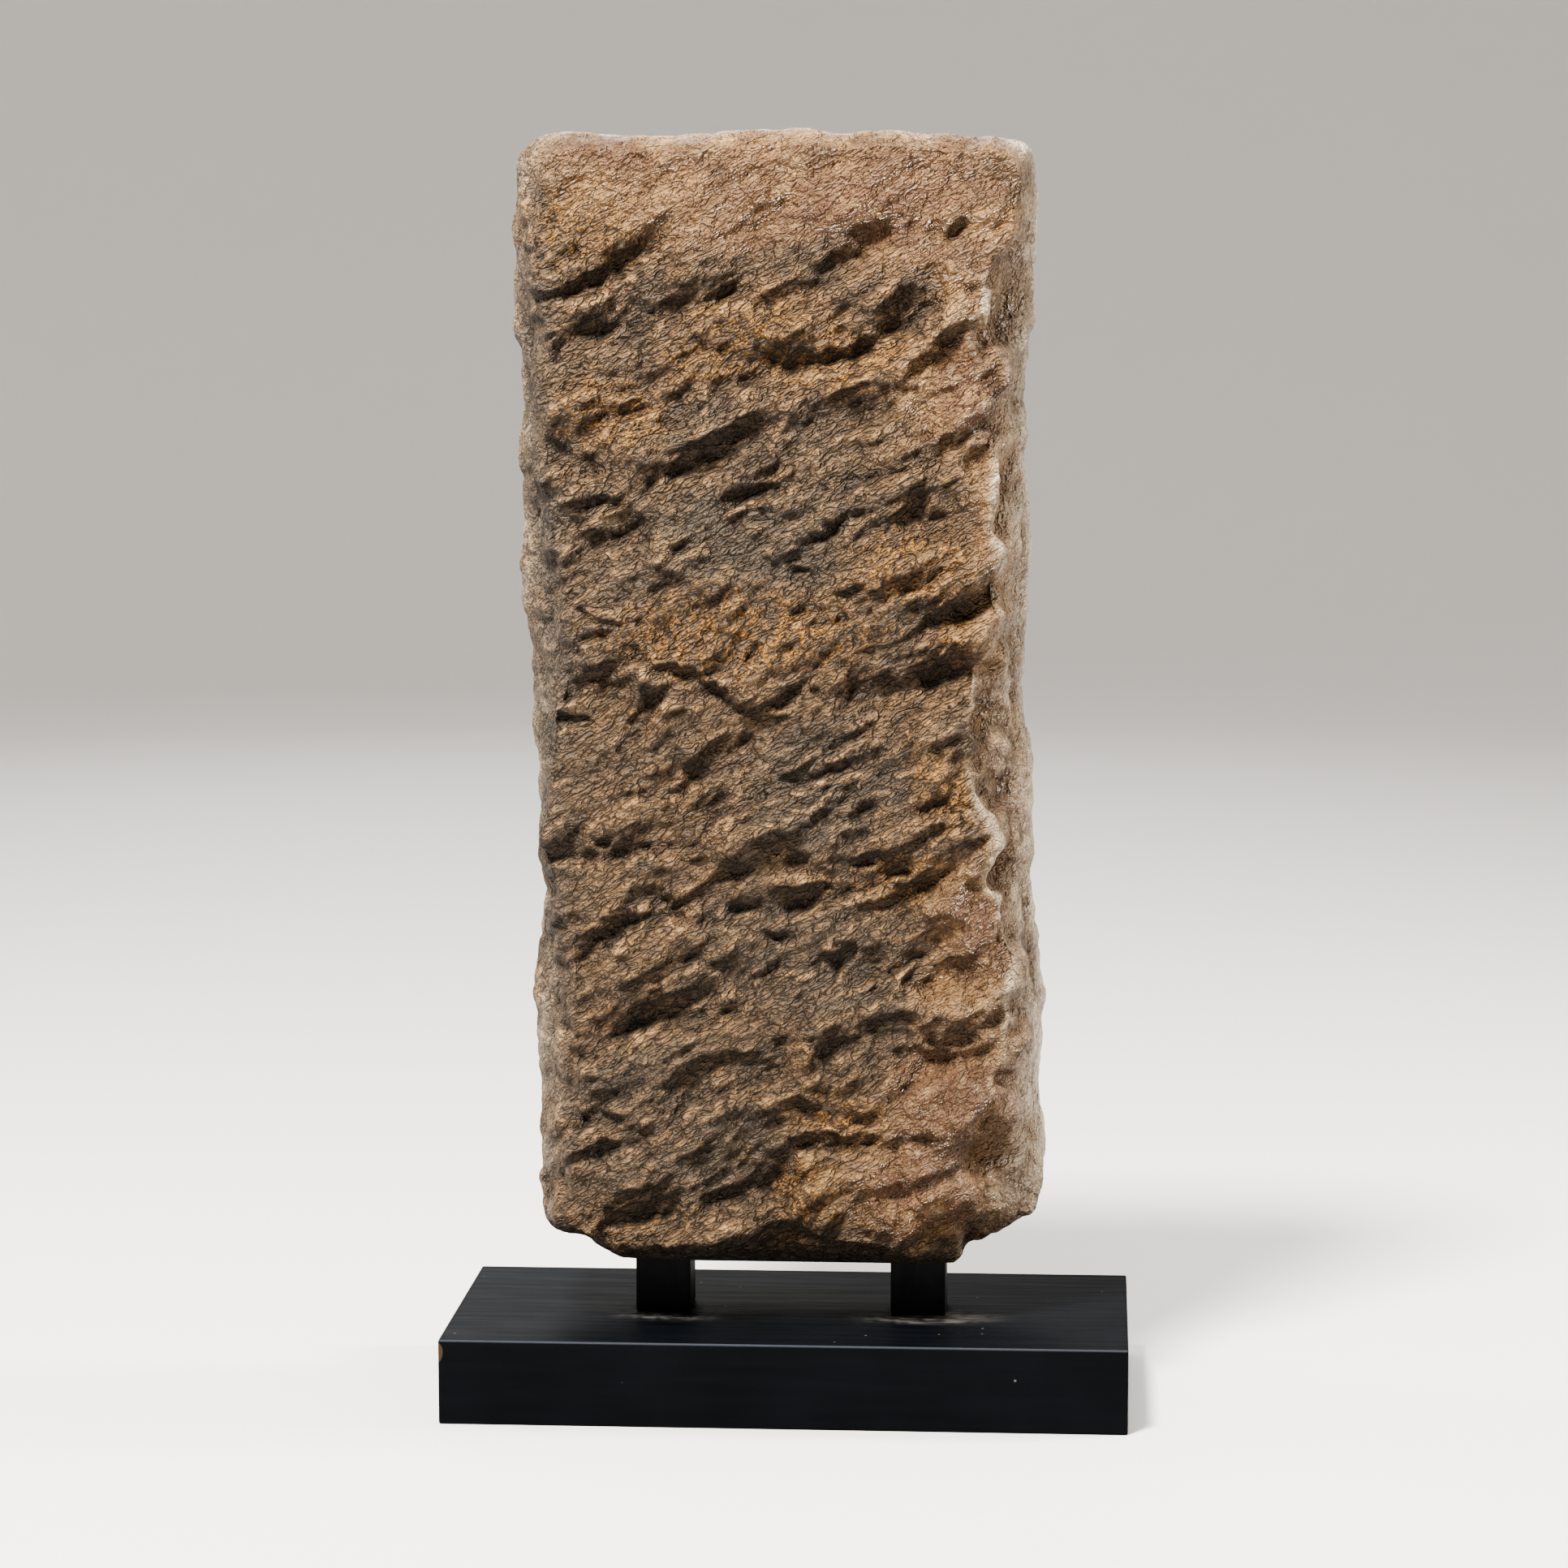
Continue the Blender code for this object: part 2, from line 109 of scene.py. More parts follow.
# Where the rough face ends and the broken edges begin: (height, inset from the outline).
LEFT_ARRIS = [
    (20, 6), (40, 19), (60, 19), (100, 20), (130, 20), (150, 19), (170, 12), (185, 10), (200, 7),
    (215, 8), (240, 8), (260, 11), (275, 18), (300, 20), (330, 20), (345, 14), (370, 12),
    (400, 12), (420, 14), (440, 20), (460, 14), (480, 11), (500, 13), (515, 12),
]
RIGHT_ARRIS = [
    (16, 37), (46, 36), (55, 30), (65, 22), (75, 18), (90, 17), (107, 13), (130, 13), (150, 7),
    (160, 9), (174, 13), (186, 18), (204, 16), (213, 17), (220, 22), (230, 25), (240, 26),
    (250, 23), (262, 22), (275, 19), (285, 17), (300, 12), (330, 10), (350, 16), (366, 13),
    (378, 9), (395, 12), (405, 10), (415, 5), (425, 8), (437, 16), (445, 20), (460, 21),
    (470, 16), (480, 7), (500, 4), (515, 5),
]
TOP_ARRIS = 7.0
# (place across, how far the face ends above the underside)
BOTTOM_ARRIS = [
    (-112, 8), (-100, 8), (-84, 11), (-55, 11), (-45, 12), (-35, 16), (-29, 20), (-19, 21),
    (-10, 23), (8, 23.5), (16, 21), (26, 20), (31, 17), (37, 15), (50, 13), (70, 12), (80, 9),
    (112, 7),
]

# Chisel gouges: the crease's left end, its right end, its bow upwards, the width of the slope
# above it, the width of the roll below it, and its depth.
GOUGES = [
    (-101, 456, -54, 483, -6, 12, 10, 4), (-101, 435, -38, 453, -2, 13, 12, 7),
    (-51, 424, -8, 438, 1.5, 9, 7, 4), (-90, 410, -48, 419, -1, 9, 6, 4),
    (-37, 408, 24, 427, 2.5, 17, 14, 9), (8, 420, 74, 454, -2.5, 17, 14, 9),
    (-60, 396, -22, 410, -1, 9, 6, 4), (4, 452, 54, 488, 2, 9, 14, 4.5),
    (-24, 480, 6, 494, 2.5, 7, 8, 3), (54, 447, 74, 460, -3, 10, 6, 3.5),
    (50, 413, 101, 441, 6.5, 7, 32, 8), (-6, 393, 72, 419, -4.5, 14, 18, 7),
    (-56, 370, 8, 400, 5, 7, 14, 5), (-109, 385, -74, 373, -0.5, 4, 9, 3),
    (-107, 355, -73, 360, 2, 4, 8, 3.5), (-102, 336, -56, 352, 0, 12, 12, 5),
    (-26, 359, 14, 371, 0.5, 8, 8, 4), (60, 378, 101, 396, 1.5, 8, 8, 4.5),
    (38, 346, 98, 360, 0, 15, 14, 5), (12, 348, 44, 359, -1.5, 8, 5, 5),
    (4, 341, 34, 352, -0.5, 6, 6, 4), (46, 321, 80, 333, -3, 7, 4, 3),
    (62, 300, 102, 321, 2, 6, 12, 4), (28, 268, 98, 285, -0.5, 15, 22, 8),
    (-104, 268, -68, 277, 0.5, 10, 8, 4.5), (-72, 288, -38, 279, 1, 3, 7, 3),
    (-123, 313, -102, 320, 1, 7, 7, 3), (-68, 226, 10, 267, -2, 14, 24, 6),
    (-77, 247, -56, 270, 0, 6, 5, 4), (-41, 277, -13, 259, 0, 5, 8, 5),
    (-15, 259, 13, 278, 0, 5, 8, 5), (17, 241, 50, 263, 0, 9, 6, 4),
    (-3, 230, 48, 245, -3, 8, 7, 4.5), (-3, 217, 36, 234, -1, 5, 5, 3),
    (14, 209, 48, 222, 1, 6, 6, 3), (24, 203, 68, 218, 1, 8, 10, 4),
    (58, 215, 84, 222, 0, 14, 4, 5), (54, 257, 84, 269, 0.5, 8, 6, 4),
    (-117, 192, -88, 195, 3, 12, 6, 5), (-90, 192, -38, 200, 4.5, 7, 5, 3.5),
    (-76, 174, -40, 163, 6.5, 6, 8, 4), (-42, 163, -6, 172, 1.5, 6, 8, 4),
    (-1, 170, 67, 194, -1, 9, 6, 5), (33, 170, 80, 192, -3, 8, 12, 6),
    (-100, 147, -68, 169, 0, 9, 13, 6), (52, 135, 98, 140, 0, 28, 8, 6),
    (26, 136, 74, 158, -5, 12, 8, 7), (-25, 134, 34, 148, 3, 7, 12, 5),
    (-104, 97, -30, 125, 4.5, 15, 14, 8), (-54, 78, 10, 105, -3, 12, 14, 4.5),
    (10, 100, 66, 121, 5, 9, 12, 6), (50, 98, 108, 108, -1, 9, 10, 6),
    (-106, 70, -68, 73, -2, 5, 9, 4), (-4, 59, 46, 65, -2, 8, 8, 5),
    (38, 58, 70, 65, -0.5, 5, 8, 3), (-39, 29, 10, 47, 1.5, 22, 12, 6),
    (-91, 14, -48, 25, 4.5, 9, 10, 5),
]
# Narrower cuts, too fine for the coarse solid, given in the same way.
FINE_GOUGES = [
    (-107, 468, -88, 478, 1, 5, 6, 2), (-31, 450, -13, 461, 0, 5, 5, 3),
    (-15, 450, 9, 459, -1.5, 5, 5, 3), (-86, 401, -65, 408, 0, 6, 6, 2.5),
    (-126, 465, -112, 477, 0, 7, 6, 4), (-120, 430, -106, 434, 0.5, 4, 4, 2),
    (-115, 419, -98, 432, 1, 4, 5, 2), (64, 482, 87, 488, -2, 6, 4, 3),
    (94, 481, 104, 489, 0, 3, 3, 1.5), (-25, 350, -6, 357, 1, 6, 6, 3),
    (-62, 328, -36, 349, 0, 2.5, 3, 2), (-71, 302, -56, 314, 0, 2, 3, 1.5),
    (-47, 293, -25, 300, 3, 3, 5, 2.5), (-19, 285, -7, 298, 0, 3, 4, 2.5),
    (-97, 280, -78, 280, 1, 3, 4, 2), (-102, 314, -76, 305, -2.5, 3, 5, 2),
    (-72, 349, -58, 354, 0, 4, 3, 2), (-103, 292, -93, 291, 0, 3, 3, 2),
    (-14, 373, 6, 378, 0, 5, 6, 3), (-2, 364, 16, 372, 0, 8, 5, 3),
    (82, 376, 103, 382, 0, 8, 10, 3), (31, 343, 54, 353, 0, 6, 5, 3.5),
    (0, 332, 20, 326, -1, 2.5, 4, 2), (16, 316, 42, 317, 3, 4, 7, 3),
    (64, 325, 78, 332, 0, 4, 4, 3), (64, 311, 78, 321, 0, 4, 4, 2.5),
    (10, 300, 30, 309, 0, 3, 4, 2), (37, 311, 52, 320, 0, 3, 3, 2.5),
    (2, 272, 18, 273, 3, 3, 5, 2.5), (-107, 262, -89, 258, 0, 3, 6, 3),
    (-93, 201, -82, 202, 1, 3, 3, 3), (-103, 211, -88, 200, 0, 2, 3, 2),
    (-51, 195, -36, 194, -2, 3, 4, 2.5), (-37, 186, -14, 190, 0.5, 6, 5, 2.5),
    (-106, 165, -90, 166, 0, 3, 4, 2), (-108, 142, -92, 150, 0, 5, 5, 2.5),
    (-14, 160, 6, 158, -1, 4, 5, 2.5), (-42, 148, -26, 142, -0.5, 3, 6, 3),
    (-57, 140, -39, 150, 0, 3, 4, 2.5), (-13, 218, 6, 226, 0, 6, 5, 3),
    (42, 235, 64, 242, 0.5, 6, 6, 3), (0, 196, 18, 186, 0, 6, 5, 3.5),
    (15, 186, 45, 201, -0.5, 6, 5, 3.5), (-62, 76, -47, 80, -2, 3, 3, 3),
    (-101, 53, -78, 59, 1, 4, 7, 4), (-44, 46, -14, 41, 1.5, 3, 4, 2),
    (-82, 30, -62, 38, 0.5, 5, 5, 2.5), (-6, 106, 14, 113, 0, 5, 5, 3),
    (52, 88, 70, 96, -0.5, 4, 5, 2), (-37, 117, -16, 132, -2, 4, 4, 3),
    (-5, 80, 20, 69, 1, 7, 6, 3.5), (16, 69, 46, 76, -1.5, 7, 6, 3.5),
    (56, 122, 74, 108, -1, 6, 5, 4), (70, 109, 100, 108, 0, 6, 5, 4),
]
# Swellings left between the gouges: centre, half width, half height, rise.
LUMPS = [
    (-88, 487, 26, 13, 2), (24, 496, 22, 14, 2), (65, 330, 26, 12, 2), (86, 299, 12, 9, 3),
    (71, 231, 10, 10, 2.5), (85, 126, 14, 8, 3), (25, 66, 10, 6, 2), (12, 38, 14, 14, 3.5),
    (60, 34, 26, 16, 3),
]
# Scars and holes broken out of the right-hand arris: centre, half width, half height, depth.
SCARS = [
    (95, 59, 13, 15, 7), (104, 34, 12, 14, 4), (99, 190, 9, 9, 5), (98, 227, 8, 9, 5),
    (95, 258, 8, 9, 5), (101, 92, 4, 5, 4), (104, 152, 8, 16, 4), (104, 122, 8, 10, 3),
    (101, 320, 8, 12, 3), (102, 362, 7, 10, 3), (102, 404, 8, 12, 3), (103, 448, 8, 13, 4),
    (103, 300, 8, 8, 3),
]
SCAR_REACH = 70.0
SCAR_FADE = 30.0
RIDGE_WIDTH = 3.2
RIDGE_HEIGHT = 2.2
GROOVE_WIDTH = 5.0
GROOVE_DEPTH = 2.6

# Layers of noise: size, seed and height. They sway the strokes, the scars and the arris.
SWAY_ACROSS = [(26, 11, 2.0), (9, 12, 2.2)]
SWAY_UP = [(26, 13, 2.4), (9, 14, 2.8), (4, 21, 0.8)]
SCAR_SWAY_ACROSS = [(10, 51, 1.5)]
SCAR_SWAY_UP = [(10, 52, 2.0)]
ARRIS_SWAY = [(14, 53, 2.2), (5, 55, 0.8)]
GRAIN_BEND = 7.0
RAGGED_EDGE = 5.0

BASE_CUT = 2.5
WAVE_CUT = 1.5
WAVE_LENGTH = 70.0
SHORT_CUTS = 110
SHORT_CUT_SEED = 7
# Chips of the rough face: size along, into and across the grain; height; seed. The rolls bulge
# and meet in creases, and the scoops are hollow and meet in ridges.
ROLLS = [
    ((46, 24, 19), 7.4, 31), ((24, 13, 9.5), 3.2, 32), ((12, 8, 4.4), 1.3, 33),
    ((7, 4.5, 2.5), 0.7, 34),
]
SCOOPS = [((34, 20, 13), 3.6, 35), ((17, 11, 6.5), 1.8, 36), ((9, 6, 3.2), 1.0, 37)]
CHIP_LEAN = 0.35
SLOPE_WIDER = 1.15  # the gouges' edges are softer on this fine mesh than on a coarse one
ROLL_WIDER = 1.5
# Flat facets of the bare and broken stone: size, height, seed.
FACETS = [((30, 22, 20), 6.0, 44), ((13, 11, 9), 2.4, 47), ((5.5, 5, 4), 0.7, 49)]
FLANK_FACETS = [((17, 18, 26), 4.4, 62), ((8, 9, 11), 2.6, 63), ((4.5, 4.5, 5), 1.1, 65)]

# Where each finish shows on the face: centre, half width, half height.
BARE_PLACES = [
    (0, 528, 140, 22), (-62, 506, 38, 20), (30, 500, 70, 20), (96, 470, 28, 44), (82, 408, 30, 24),
    (104, 350, 18, 80), (108, 240, 18, 110), (90, 172, 24, 26), (86, 134, 24, 16), (82, 84, 34, 30),
    (66, 40, 36, 26), (104, 60, 22, 60), (56, 482, 34, 16), (-24, 486, 26, 12),
]
OCHRE_PLACES = [
    (-88, 487, 34, 18), (-8, 443, 34, 13), (-34, 424, 26, 12), (26, 426, 40, 14), (62, 330, 32, 16),
    (86, 297, 14, 12), (74, 228, 14, 18), (27, 73, 24, 14), (12, 38, 16, 16), (60, 183, 26, 12),
    (-80, 400, 26, 16), (70, 424, 26, 8), (-20, 300, 60, 20),
]
CLAY_PLACES = [
    (-30, 345, 80, 60), (-50, 60, 60, 50), (10, 150, 50, 40), (-114, 300, 20, 180),
    (20, 225, 40, 30),
]
STAIN_PLACES = [
    (20, 492, 44, 24), (70, 506, 40, 12), (-90, 520, 30, 8), (92, 414, 20, 26), (78, 92, 34, 30),
    (88, 160, 20, 20), (60, 40, 34, 22),
]

# Where each starts and over what length it grows: pale stone to the right, left and back, and
# the calmer top.
PALE_RIGHT = (84, 18)
PALE_LEFT = (98, 14)
PALE_BACK = (34, 40)
CALM_TOP = (440, 40)

GRAIN_TILT = math.radians(33)

# How far round each place on the face, in steps of its grid, a hollow or crest is measured from,
# and the depths or heights in millimetres that count in full.
# The hollows found this way get painted shade, and the crests a painted highlight.
NEAR_REACH = 3
WIDE_REACH = 14
NEAR_HOLLOW = 2.6
WIDE_HOLLOW = 12.0
FACE_CREST = 1.6
SCAR_HOLLOW = 7.0

# Random tables: large primes scatter the cells of space over the rows.
TABLE_SIZE = 4096
SCATTER = (73856093, 19349663, 83492791)

# Stone colours
PATINA_DARK = (0.062, 0.042, 0.027)
PATINA_BROWN = (0.19, 0.118, 0.064)
PATINA_TAN = (0.19, 0.128, 0.076)
CLAY_GREY = (0.092, 0.074, 0.056)
OCHRE_DARK = (0.06, 0.032, 0.013)
OCHRE_GOLD = (0.50, 0.26, 0.08)
# painted highlight for crests that face up
CREST_HIGHLIGHT_TAN = (0.46, 0.30, 0.165)
FLECK_BROWN = (0.04, 0.027, 0.019)
STONE_BROWN = (0.105, 0.062, 0.038)
STONE_HONEY = (0.38, 0.24, 0.13)
STONE_AMBER = (0.34, 0.20, 0.10)
STONE_SHADE = (0.15, 0.086, 0.054)
# painted highlight for crests of the bare stone
STONE_CREST_HIGHLIGHT = (0.56, 0.39, 0.23)
STAIN_RED = (0.18, 0.096, 0.064)
BROKEN_BROWN = (0.27, 0.18, 0.115)
BROKEN_CREAM = (0.46, 0.35, 0.24)
BROKEN_GREY = (0.50, 0.44, 0.35)
# painted highlight for crests of the broken stone
BROKEN_CREST_HIGHLIGHT = (0.76, 0.68, 0.55)
# painted shade for hollows in the broken stone
BROKEN_HOLLOW_SHADE = (0.155, 0.088, 0.052)
# painted shade for hollows and for surfaces that face down
HOLLOW_SHADE_BLACK = (0.028, 0.021, 0.016)
# painted shade for the relief's creases
CREASE_SHADE_BLACK = (0.028, 0.019, 0.014)
FRACTURE_PALE = (0.66, 0.54, 0.40)
SOOT_BROWN = (0.12, 0.078, 0.048)
SUGAR_WHITE = (0.66, 0.60, 0.50)

# The stand's marks, in metres: the painted pool of light in front of each post, the pale line along
# the front arris and the front left chip.
LIGHT_POOLS = [("post_left", 0.045), ("post_right", 0.052)]
LIGHT_POOL_SHIFT = 0.004
LIGHT_POOL_DEPTH = 0.021
LIGHT_POOL_HEIGHT = 0.02
ARRIS_WIDTH = 0.0012
CHIP_SIZE = (0.003, 0.004, 0.006)

# The studio and the camera, in metres and degrees
FLOOR_RADIUS = 3.0
CURVE_RADIUS = 2.0
CURVE_STEPS = 12
WALL_HEIGHT = 5.5
STUDIO_SIDES = 96
SENSOR_WIDTH = 36.0
FOCAL_LENGTH = 100.81
CAMERA_PLACE = (0.14126, -2.0524, 0.54356)
CAMERA_TURN = 4.035
CAMERA_DIP = 6.967
CAMERA_ROLL = -0.11


def read(rows, at):
    """The second column of a table at each place, in a straight line between its rows."""
    places, values = zip(*rows)
    return np.interp(at, places, values)


def smooth_step(share):
    share = np.clip(share, 0, 1)
    return share * share * (3 - 2 * share)


def grown(at, zone):
    start, length = zone
    return smooth_step((at - start) / length)


def table_row(cell):
    """The row of a random table that each cell of space takes."""
    along, into, up = (cell * SCATTER).T
    return (along ^ into ^ up) % TABLE_SIZE


def noise(points, size, seed):
    """Smooth noise, about -1..1, with swells of this size, at an array of points."""
    gradients = np.random.default_rng(seed).normal(size=(TABLE_SIZE, 3))
    gradients /= np.linalg.norm(gradients, axis=1, keepdims=True)
    points = points / np.asarray(size)
    cell = np.floor(points).astype(np.int64)
    inside = points - cell
    fade = inside**3 * (inside * (inside * 6 - 15) + 10)
    total = np.zeros(len(points))
    for corner in itertools.product((0, 1), repeat=3):
        gradient = gradients[table_row(cell + corner)]
        weight = np.prod(np.where(corner, fade, 1 - fade), axis=1)
        total += (gradient * (inside - corner)).sum(axis=1) * weight
    return total * 1.6


def layered(points, layers):
    return sum(noise(points, size, seed) * height for size, seed, height in layers)


def gouge_cut(x, z, gouge):
    """Depth of one gouge: a slope down to its crease, and a roll back out below it."""
    x0, z0, x1, z1, bow, up, down, depth = gouge
    up, down = up * SLOPE_WIDER, down * ROLL_WIDER
    along = (x - x0) / (x1 - x0)
    crease = z0 + (z1 - z0) * along + 4 * bow * along * (1 - along)
    below = (crease - z) * (x1 - x0) / math.hypot(x1 - x0, z1 - z0)
    slope = np.clip(1 + below / up, 0, 1) ** 1.2
    roll = np.clip(1 - below / down, 0, 1) ** 2
    ends = np.clip(1 - (2 * along - 1) ** 2, 0, 1) ** 0.5
    return depth * ends * np.where(below < 0, slope, roll)


def short_cuts():
    """Small cuts of the point between the gouges, most of them rising to the right."""
    rng = np.random.default_rng(SHORT_CUT_SEED)
    cuts = []
    for _ in range(SHORT_CUTS):
        x, z = rng.uniform(-112, 88), rng.uniform(16, 486)
        length, tilt = rng.uniform(9, 30), math.radians(rng.uniform(-10, 60))
        width, depth = rng.uniform(2.5, 8), rng.uniform(0.4, 1.6)
        end_x, end_z = x + length * math.cos(tilt), z + length * math.sin(tilt)
        cuts.append((x, z, end_x, end_z, rng.uniform(-1, 2), width, width * 1.4, depth))
    return cuts


def away_from(x, z, spot):
    """Distance from an oval's centre, as a share of its half sizes."""
    centre_x, centre_z, half_x, half_z = spot
    return np.hypot((x - centre_x) / half_x, (z - centre_z) / half_z)


def patches(x, z, places):
    """How much each place lies within any of the soft-edged ovals, 0..1."""
    share = np.zeros_like(x)
    for spot in places:
        share = np.maximum(share, smooth_step(1.5 - away_from(x, z, spot)))
    return share


def grained(points):
    """The same places in a frame whose first axis runs along the grain."""
    x, y, z = points.T
    along = x * math.cos(GRAIN_TILT) + z * math.sin(GRAIN_TILT)
    across = z * math.cos(GRAIN_TILT) - x * math.sin(GRAIN_TILT)
    return np.stack([along, y, across], axis=1)


def chipped(points, size, seed):
    """Height of bulging chips of this size, which meet in sharp creases; about -1..0.3."""
    rng = np.random.default_rng(seed)
    middles = rng.uniform(0.1, 0.9, size=(TABLE_SIZE, 3))
    leans = rng.normal(scale=CHIP_LEAN, size=(TABLE_SIZE, 3)) + np.array([0, 0, -CHIP_LEAN])
    points = points / np.asarray(size)
    cell = np.floor(points).astype(np.int64)
    height = np.full(len(points), -10.0)
    for step in itertools.product((-1, 0, 1), repeat=3):
        at = cell + step
        row = table_row(at)
        away = points - at - middles[row]
        height = np.maximum(height, (away * leans[row] - away**2).sum(axis=1))
    return height


def scar_cut(x, z):
    """Depth of the hollows broken out of the right-hand arris."""
    cut = np.zeros_like(x)
    for *spot, depth in SCARS:
        cut = np.maximum(cut, depth * smooth_step(1.4 - away_from(x, z, spot)))
    return cut


class Stone:
    """Everything that is worked out once for the stone's points: its zones and its cuts."""

    def __init__(self, points):
        self.points = points
        self.x = points[:, 0] + layered(points, SWAY_ACROSS)
        self.z = points[:, 2] + layered(points, SWAY_UP)
        bend = np.stack([noise(points, 38, seed) for seed in (15, 16, 17)], axis=1) * GRAIN_BEND
        self.grain = grained(points + bend)
        ragged = noise(points, 9, 18) * RAGGED_EDGE
        self.bare = patches(self.x + ragged, self.z + ragged, BARE_PLACES)
        self.ochre = patches(self.x + ragged, self.z - ragged, OCHRE_PLACES)
        self.clay = patches(self.x, self.z, CLAY_PLACES)
        self.stain = patches(self.x - ragged, self.z, STAIN_PLACES)

    def cut(self):
        """How far the rough face is cut back, towards the inside of the stone."""
        x, z, rough = self.x, self.z, 1 - 0.5 * self.bare
        deep = np.zeros_like(x)
        for gouge in [*GOUGES, *FINE_GOUGES]:
            deep = np.maximum(deep, gouge_cut(x, z, gouge))
        deep *= 1.05 + 0.35 * noise(self.points, 13, 19)
        small = np.zeros_like(x)
        for short in short_cuts():
            small = np.maximum(small, gouge_cut(x, z, short))
        cut = np.maximum(deep, 0.45 * deep + small * rough)
        for *spot, rise in LUMPS:
            cut -= rise * smooth_step(1 - away_from(x, z, spot) / 1.4)
        plain_x, plain_z = self.points[:, 0], self.points[:, 2]
        waves = np.sin(plain_x / WAVE_LENGTH * 5 + plain_z / WAVE_LENGTH * 2)
        waves = waves + np.sin(plain_z / WAVE_LENGTH * 4.1 - 1)
        cut = np.maximum(cut + BASE_CUT + WAVE_CUT * waves / 2, 0)
        lively = 0.4 + 0.9 * smooth_step(0.5 + noise(self.points, 34, 46) * 1.6)
        for size, height, seed in ROLLS:
            cut -= rough * lively * height * (chipped(self.grain, size, seed) + 0.3)
        for size, depth, seed in SCOOPS:
            cut += rough * (1.4 - lively) * depth * (chipped(self.grain, size, seed) + 0.3)
        cut += rough * noise(self.points, 3.2, 48) * 0.3
        cut += noise(self.points, 21, 41) * 1.0
        low = 1 - 0.6 * grown(self.points[:, 2], CALM_TOP)
        for size, height, seed in FACETS:
            cut -= self.bare * low * height * (chipped(self.grain, size, seed) + 0.25)
        return cut

    def scars(self):
        """Depth of the scars, whose edges wander a little."""
        x = self.points[:, 0] + layered(self.points, SCAR_SWAY_ACROSS)
        z = self.points[:, 2] + layered(self.points, SCAR_SWAY_UP)
        return scar_cut(x, z)

    def past_arris(self):
        """How far each point lies to the right of the right-hand arris, which wanders a little."""
        x, z = self.points[:, 0], self.points[:, 2]
        arris = STONE_SHIFT + STONE_WIDTH / 2 - read(RIGHT_EDGE, z) - read(RIGHT_ARRIS, z)
        return x - arris + layered(self.points, ARRIS_SWAY)

    def ridge(self):
        """Share of the sharp ridge along the right-hand arris."""
        strong = smooth_step(0.65 + noise(self.points, 40, 54) * 1.4)
        return strong * np.exp(-np.abs(self.past_arris() / RIDGE_WIDTH) ** 1.4)

    def groove(self):
        """Share of the broken channel just behind the ridge, on the flank."""
        strong = smooth_step(0.5 + noise(self.points, 18, 56) * 1.8)
        off = (self.past_arris() - RIDGE_WIDTH - GROOVE_WIDTH / 2) / GROOVE_WIDTH
        near = smooth_step((50 - self.points[:, 1]) / 15)
        return strong * near * np.exp(-(off**2) * 2)

    def side_cut(self):
        """Roughness of the broken edges and sides."""
        cut = noise(self.points, 24, 61) * 0.8 + 0.4
        for size, height, seed in FLANK_FACETS:
            cut -= height * (chipped(self.points, size, seed) + 0.2)
        top = smooth_step((self.points[:, 2] - STONE_HEIGHT + 30) / 20)
        return cut * (1 - 0.6 * top)

    def broken(self):
        """How much pale broken stone shows on the edges and sides: most on the right."""
        x, y = self.points[:, 0], self.points[:, 1]
        patch = smooth_step(0.5 + noise(self.points, 20, 71) * 1.6)
        right = grown(x, PALE_RIGHT) * (0.6 + 0.4 * patch)
        left = grown(-x, PALE_LEFT) * (0.12 + 0.4 * patch**2)
        behind = grown(y, PALE_BACK) * 0.8
        return np.clip(right + left + behind, 0, 1)


def rounded(across, up):
    """Pulls the corners of the square -1..1 into arcs, so that the stone's corners are round."""
    radius = np.where(up > 0, TOP_CORNER, FOOT_CORNER)
    share_x, share_z = radius / (STONE_WIDTH / 2), radius / (STONE_HEIGHT / 2)
    from_x = (np.abs(across) - (1 - share_x)) / share_x
    from_z = (np.abs(up) - (1 - share_z)) / share_z
    inside = (from_x > 0) & (from_z > 0)
    reach = np.where(inside, np.maximum(from_x, from_z) / np.hypot(from_x, from_z), 1.0)
    across = np.where(inside, np.sign(across) * (1 - share_x * (1 - from_x * reach)), across)
    up = np.where(inside, np.sign(up) * (1 - share_z * (1 - from_z * reach)), up)
    return across, up


def outline(across, up, inset, seat):
    """Places on the stone's outline, or inside it, from places in the square -1..1.

    inset gives how far the left, right, bottom and top edges stand in from the outline.
    """
    across, up = rounded(across, up)
    half = STONE_WIDTH / 2
    x = STONE_SHIFT + across * half
    left_way = np.clip((-x - seat) / (half - STONE_SHIFT - seat), 0, 1)
    right_way = np.clip((x - seat) / (half + STONE_SHIFT - seat), 0, 1)
    low = read(LEFT_FOOT, left_way) + read(RIGHT_FOOT, right_way)
    low = low + inset["bottom"](x)
    high = STONE_HEIGHT - read(TOP_EDGE, x) - inset["top"](x)
    z = low + (high - low) * (up + 1) / 2
    left = STONE_SHIFT - half + read(LEFT_EDGE, z) + inset["left"](z)
    right = STONE_SHIFT + half - read(RIGHT_EDGE, z) - inset["right"](z)
    return left + (right - left) * (across + 1) / 2, z


FACE_INSET = {
    "left": lambda z: read(LEFT_ARRIS, z),
    "right": lambda z: read(RIGHT_ARRIS, z),
    "bottom": lambda x: read(BOTTOM_ARRIS, x),
    "top": lambda x: TOP_ARRIS,
}
NO_INSET = dict.fromkeys(FACE_INSET, lambda at: 0)
DRESSED_INSET = dict.fromkeys(FACE_INSET, lambda at: DRESSED_ARRIS)


def perimeter(columns, rows):
    """Places round the square -1..1, anticlockwise from its lower left corner."""
    run, climb = np.linspace(-1, 1, columns + 1)[:-1], np.linspace(-1, 1, rows + 1)[:-1]
    across = np.concatenate([run, np.ones(rows), -run, -np.ones(rows)])
    up = np.concatenate([-np.ones(columns), climb, np.ones(columns), -climb])
    return across, up


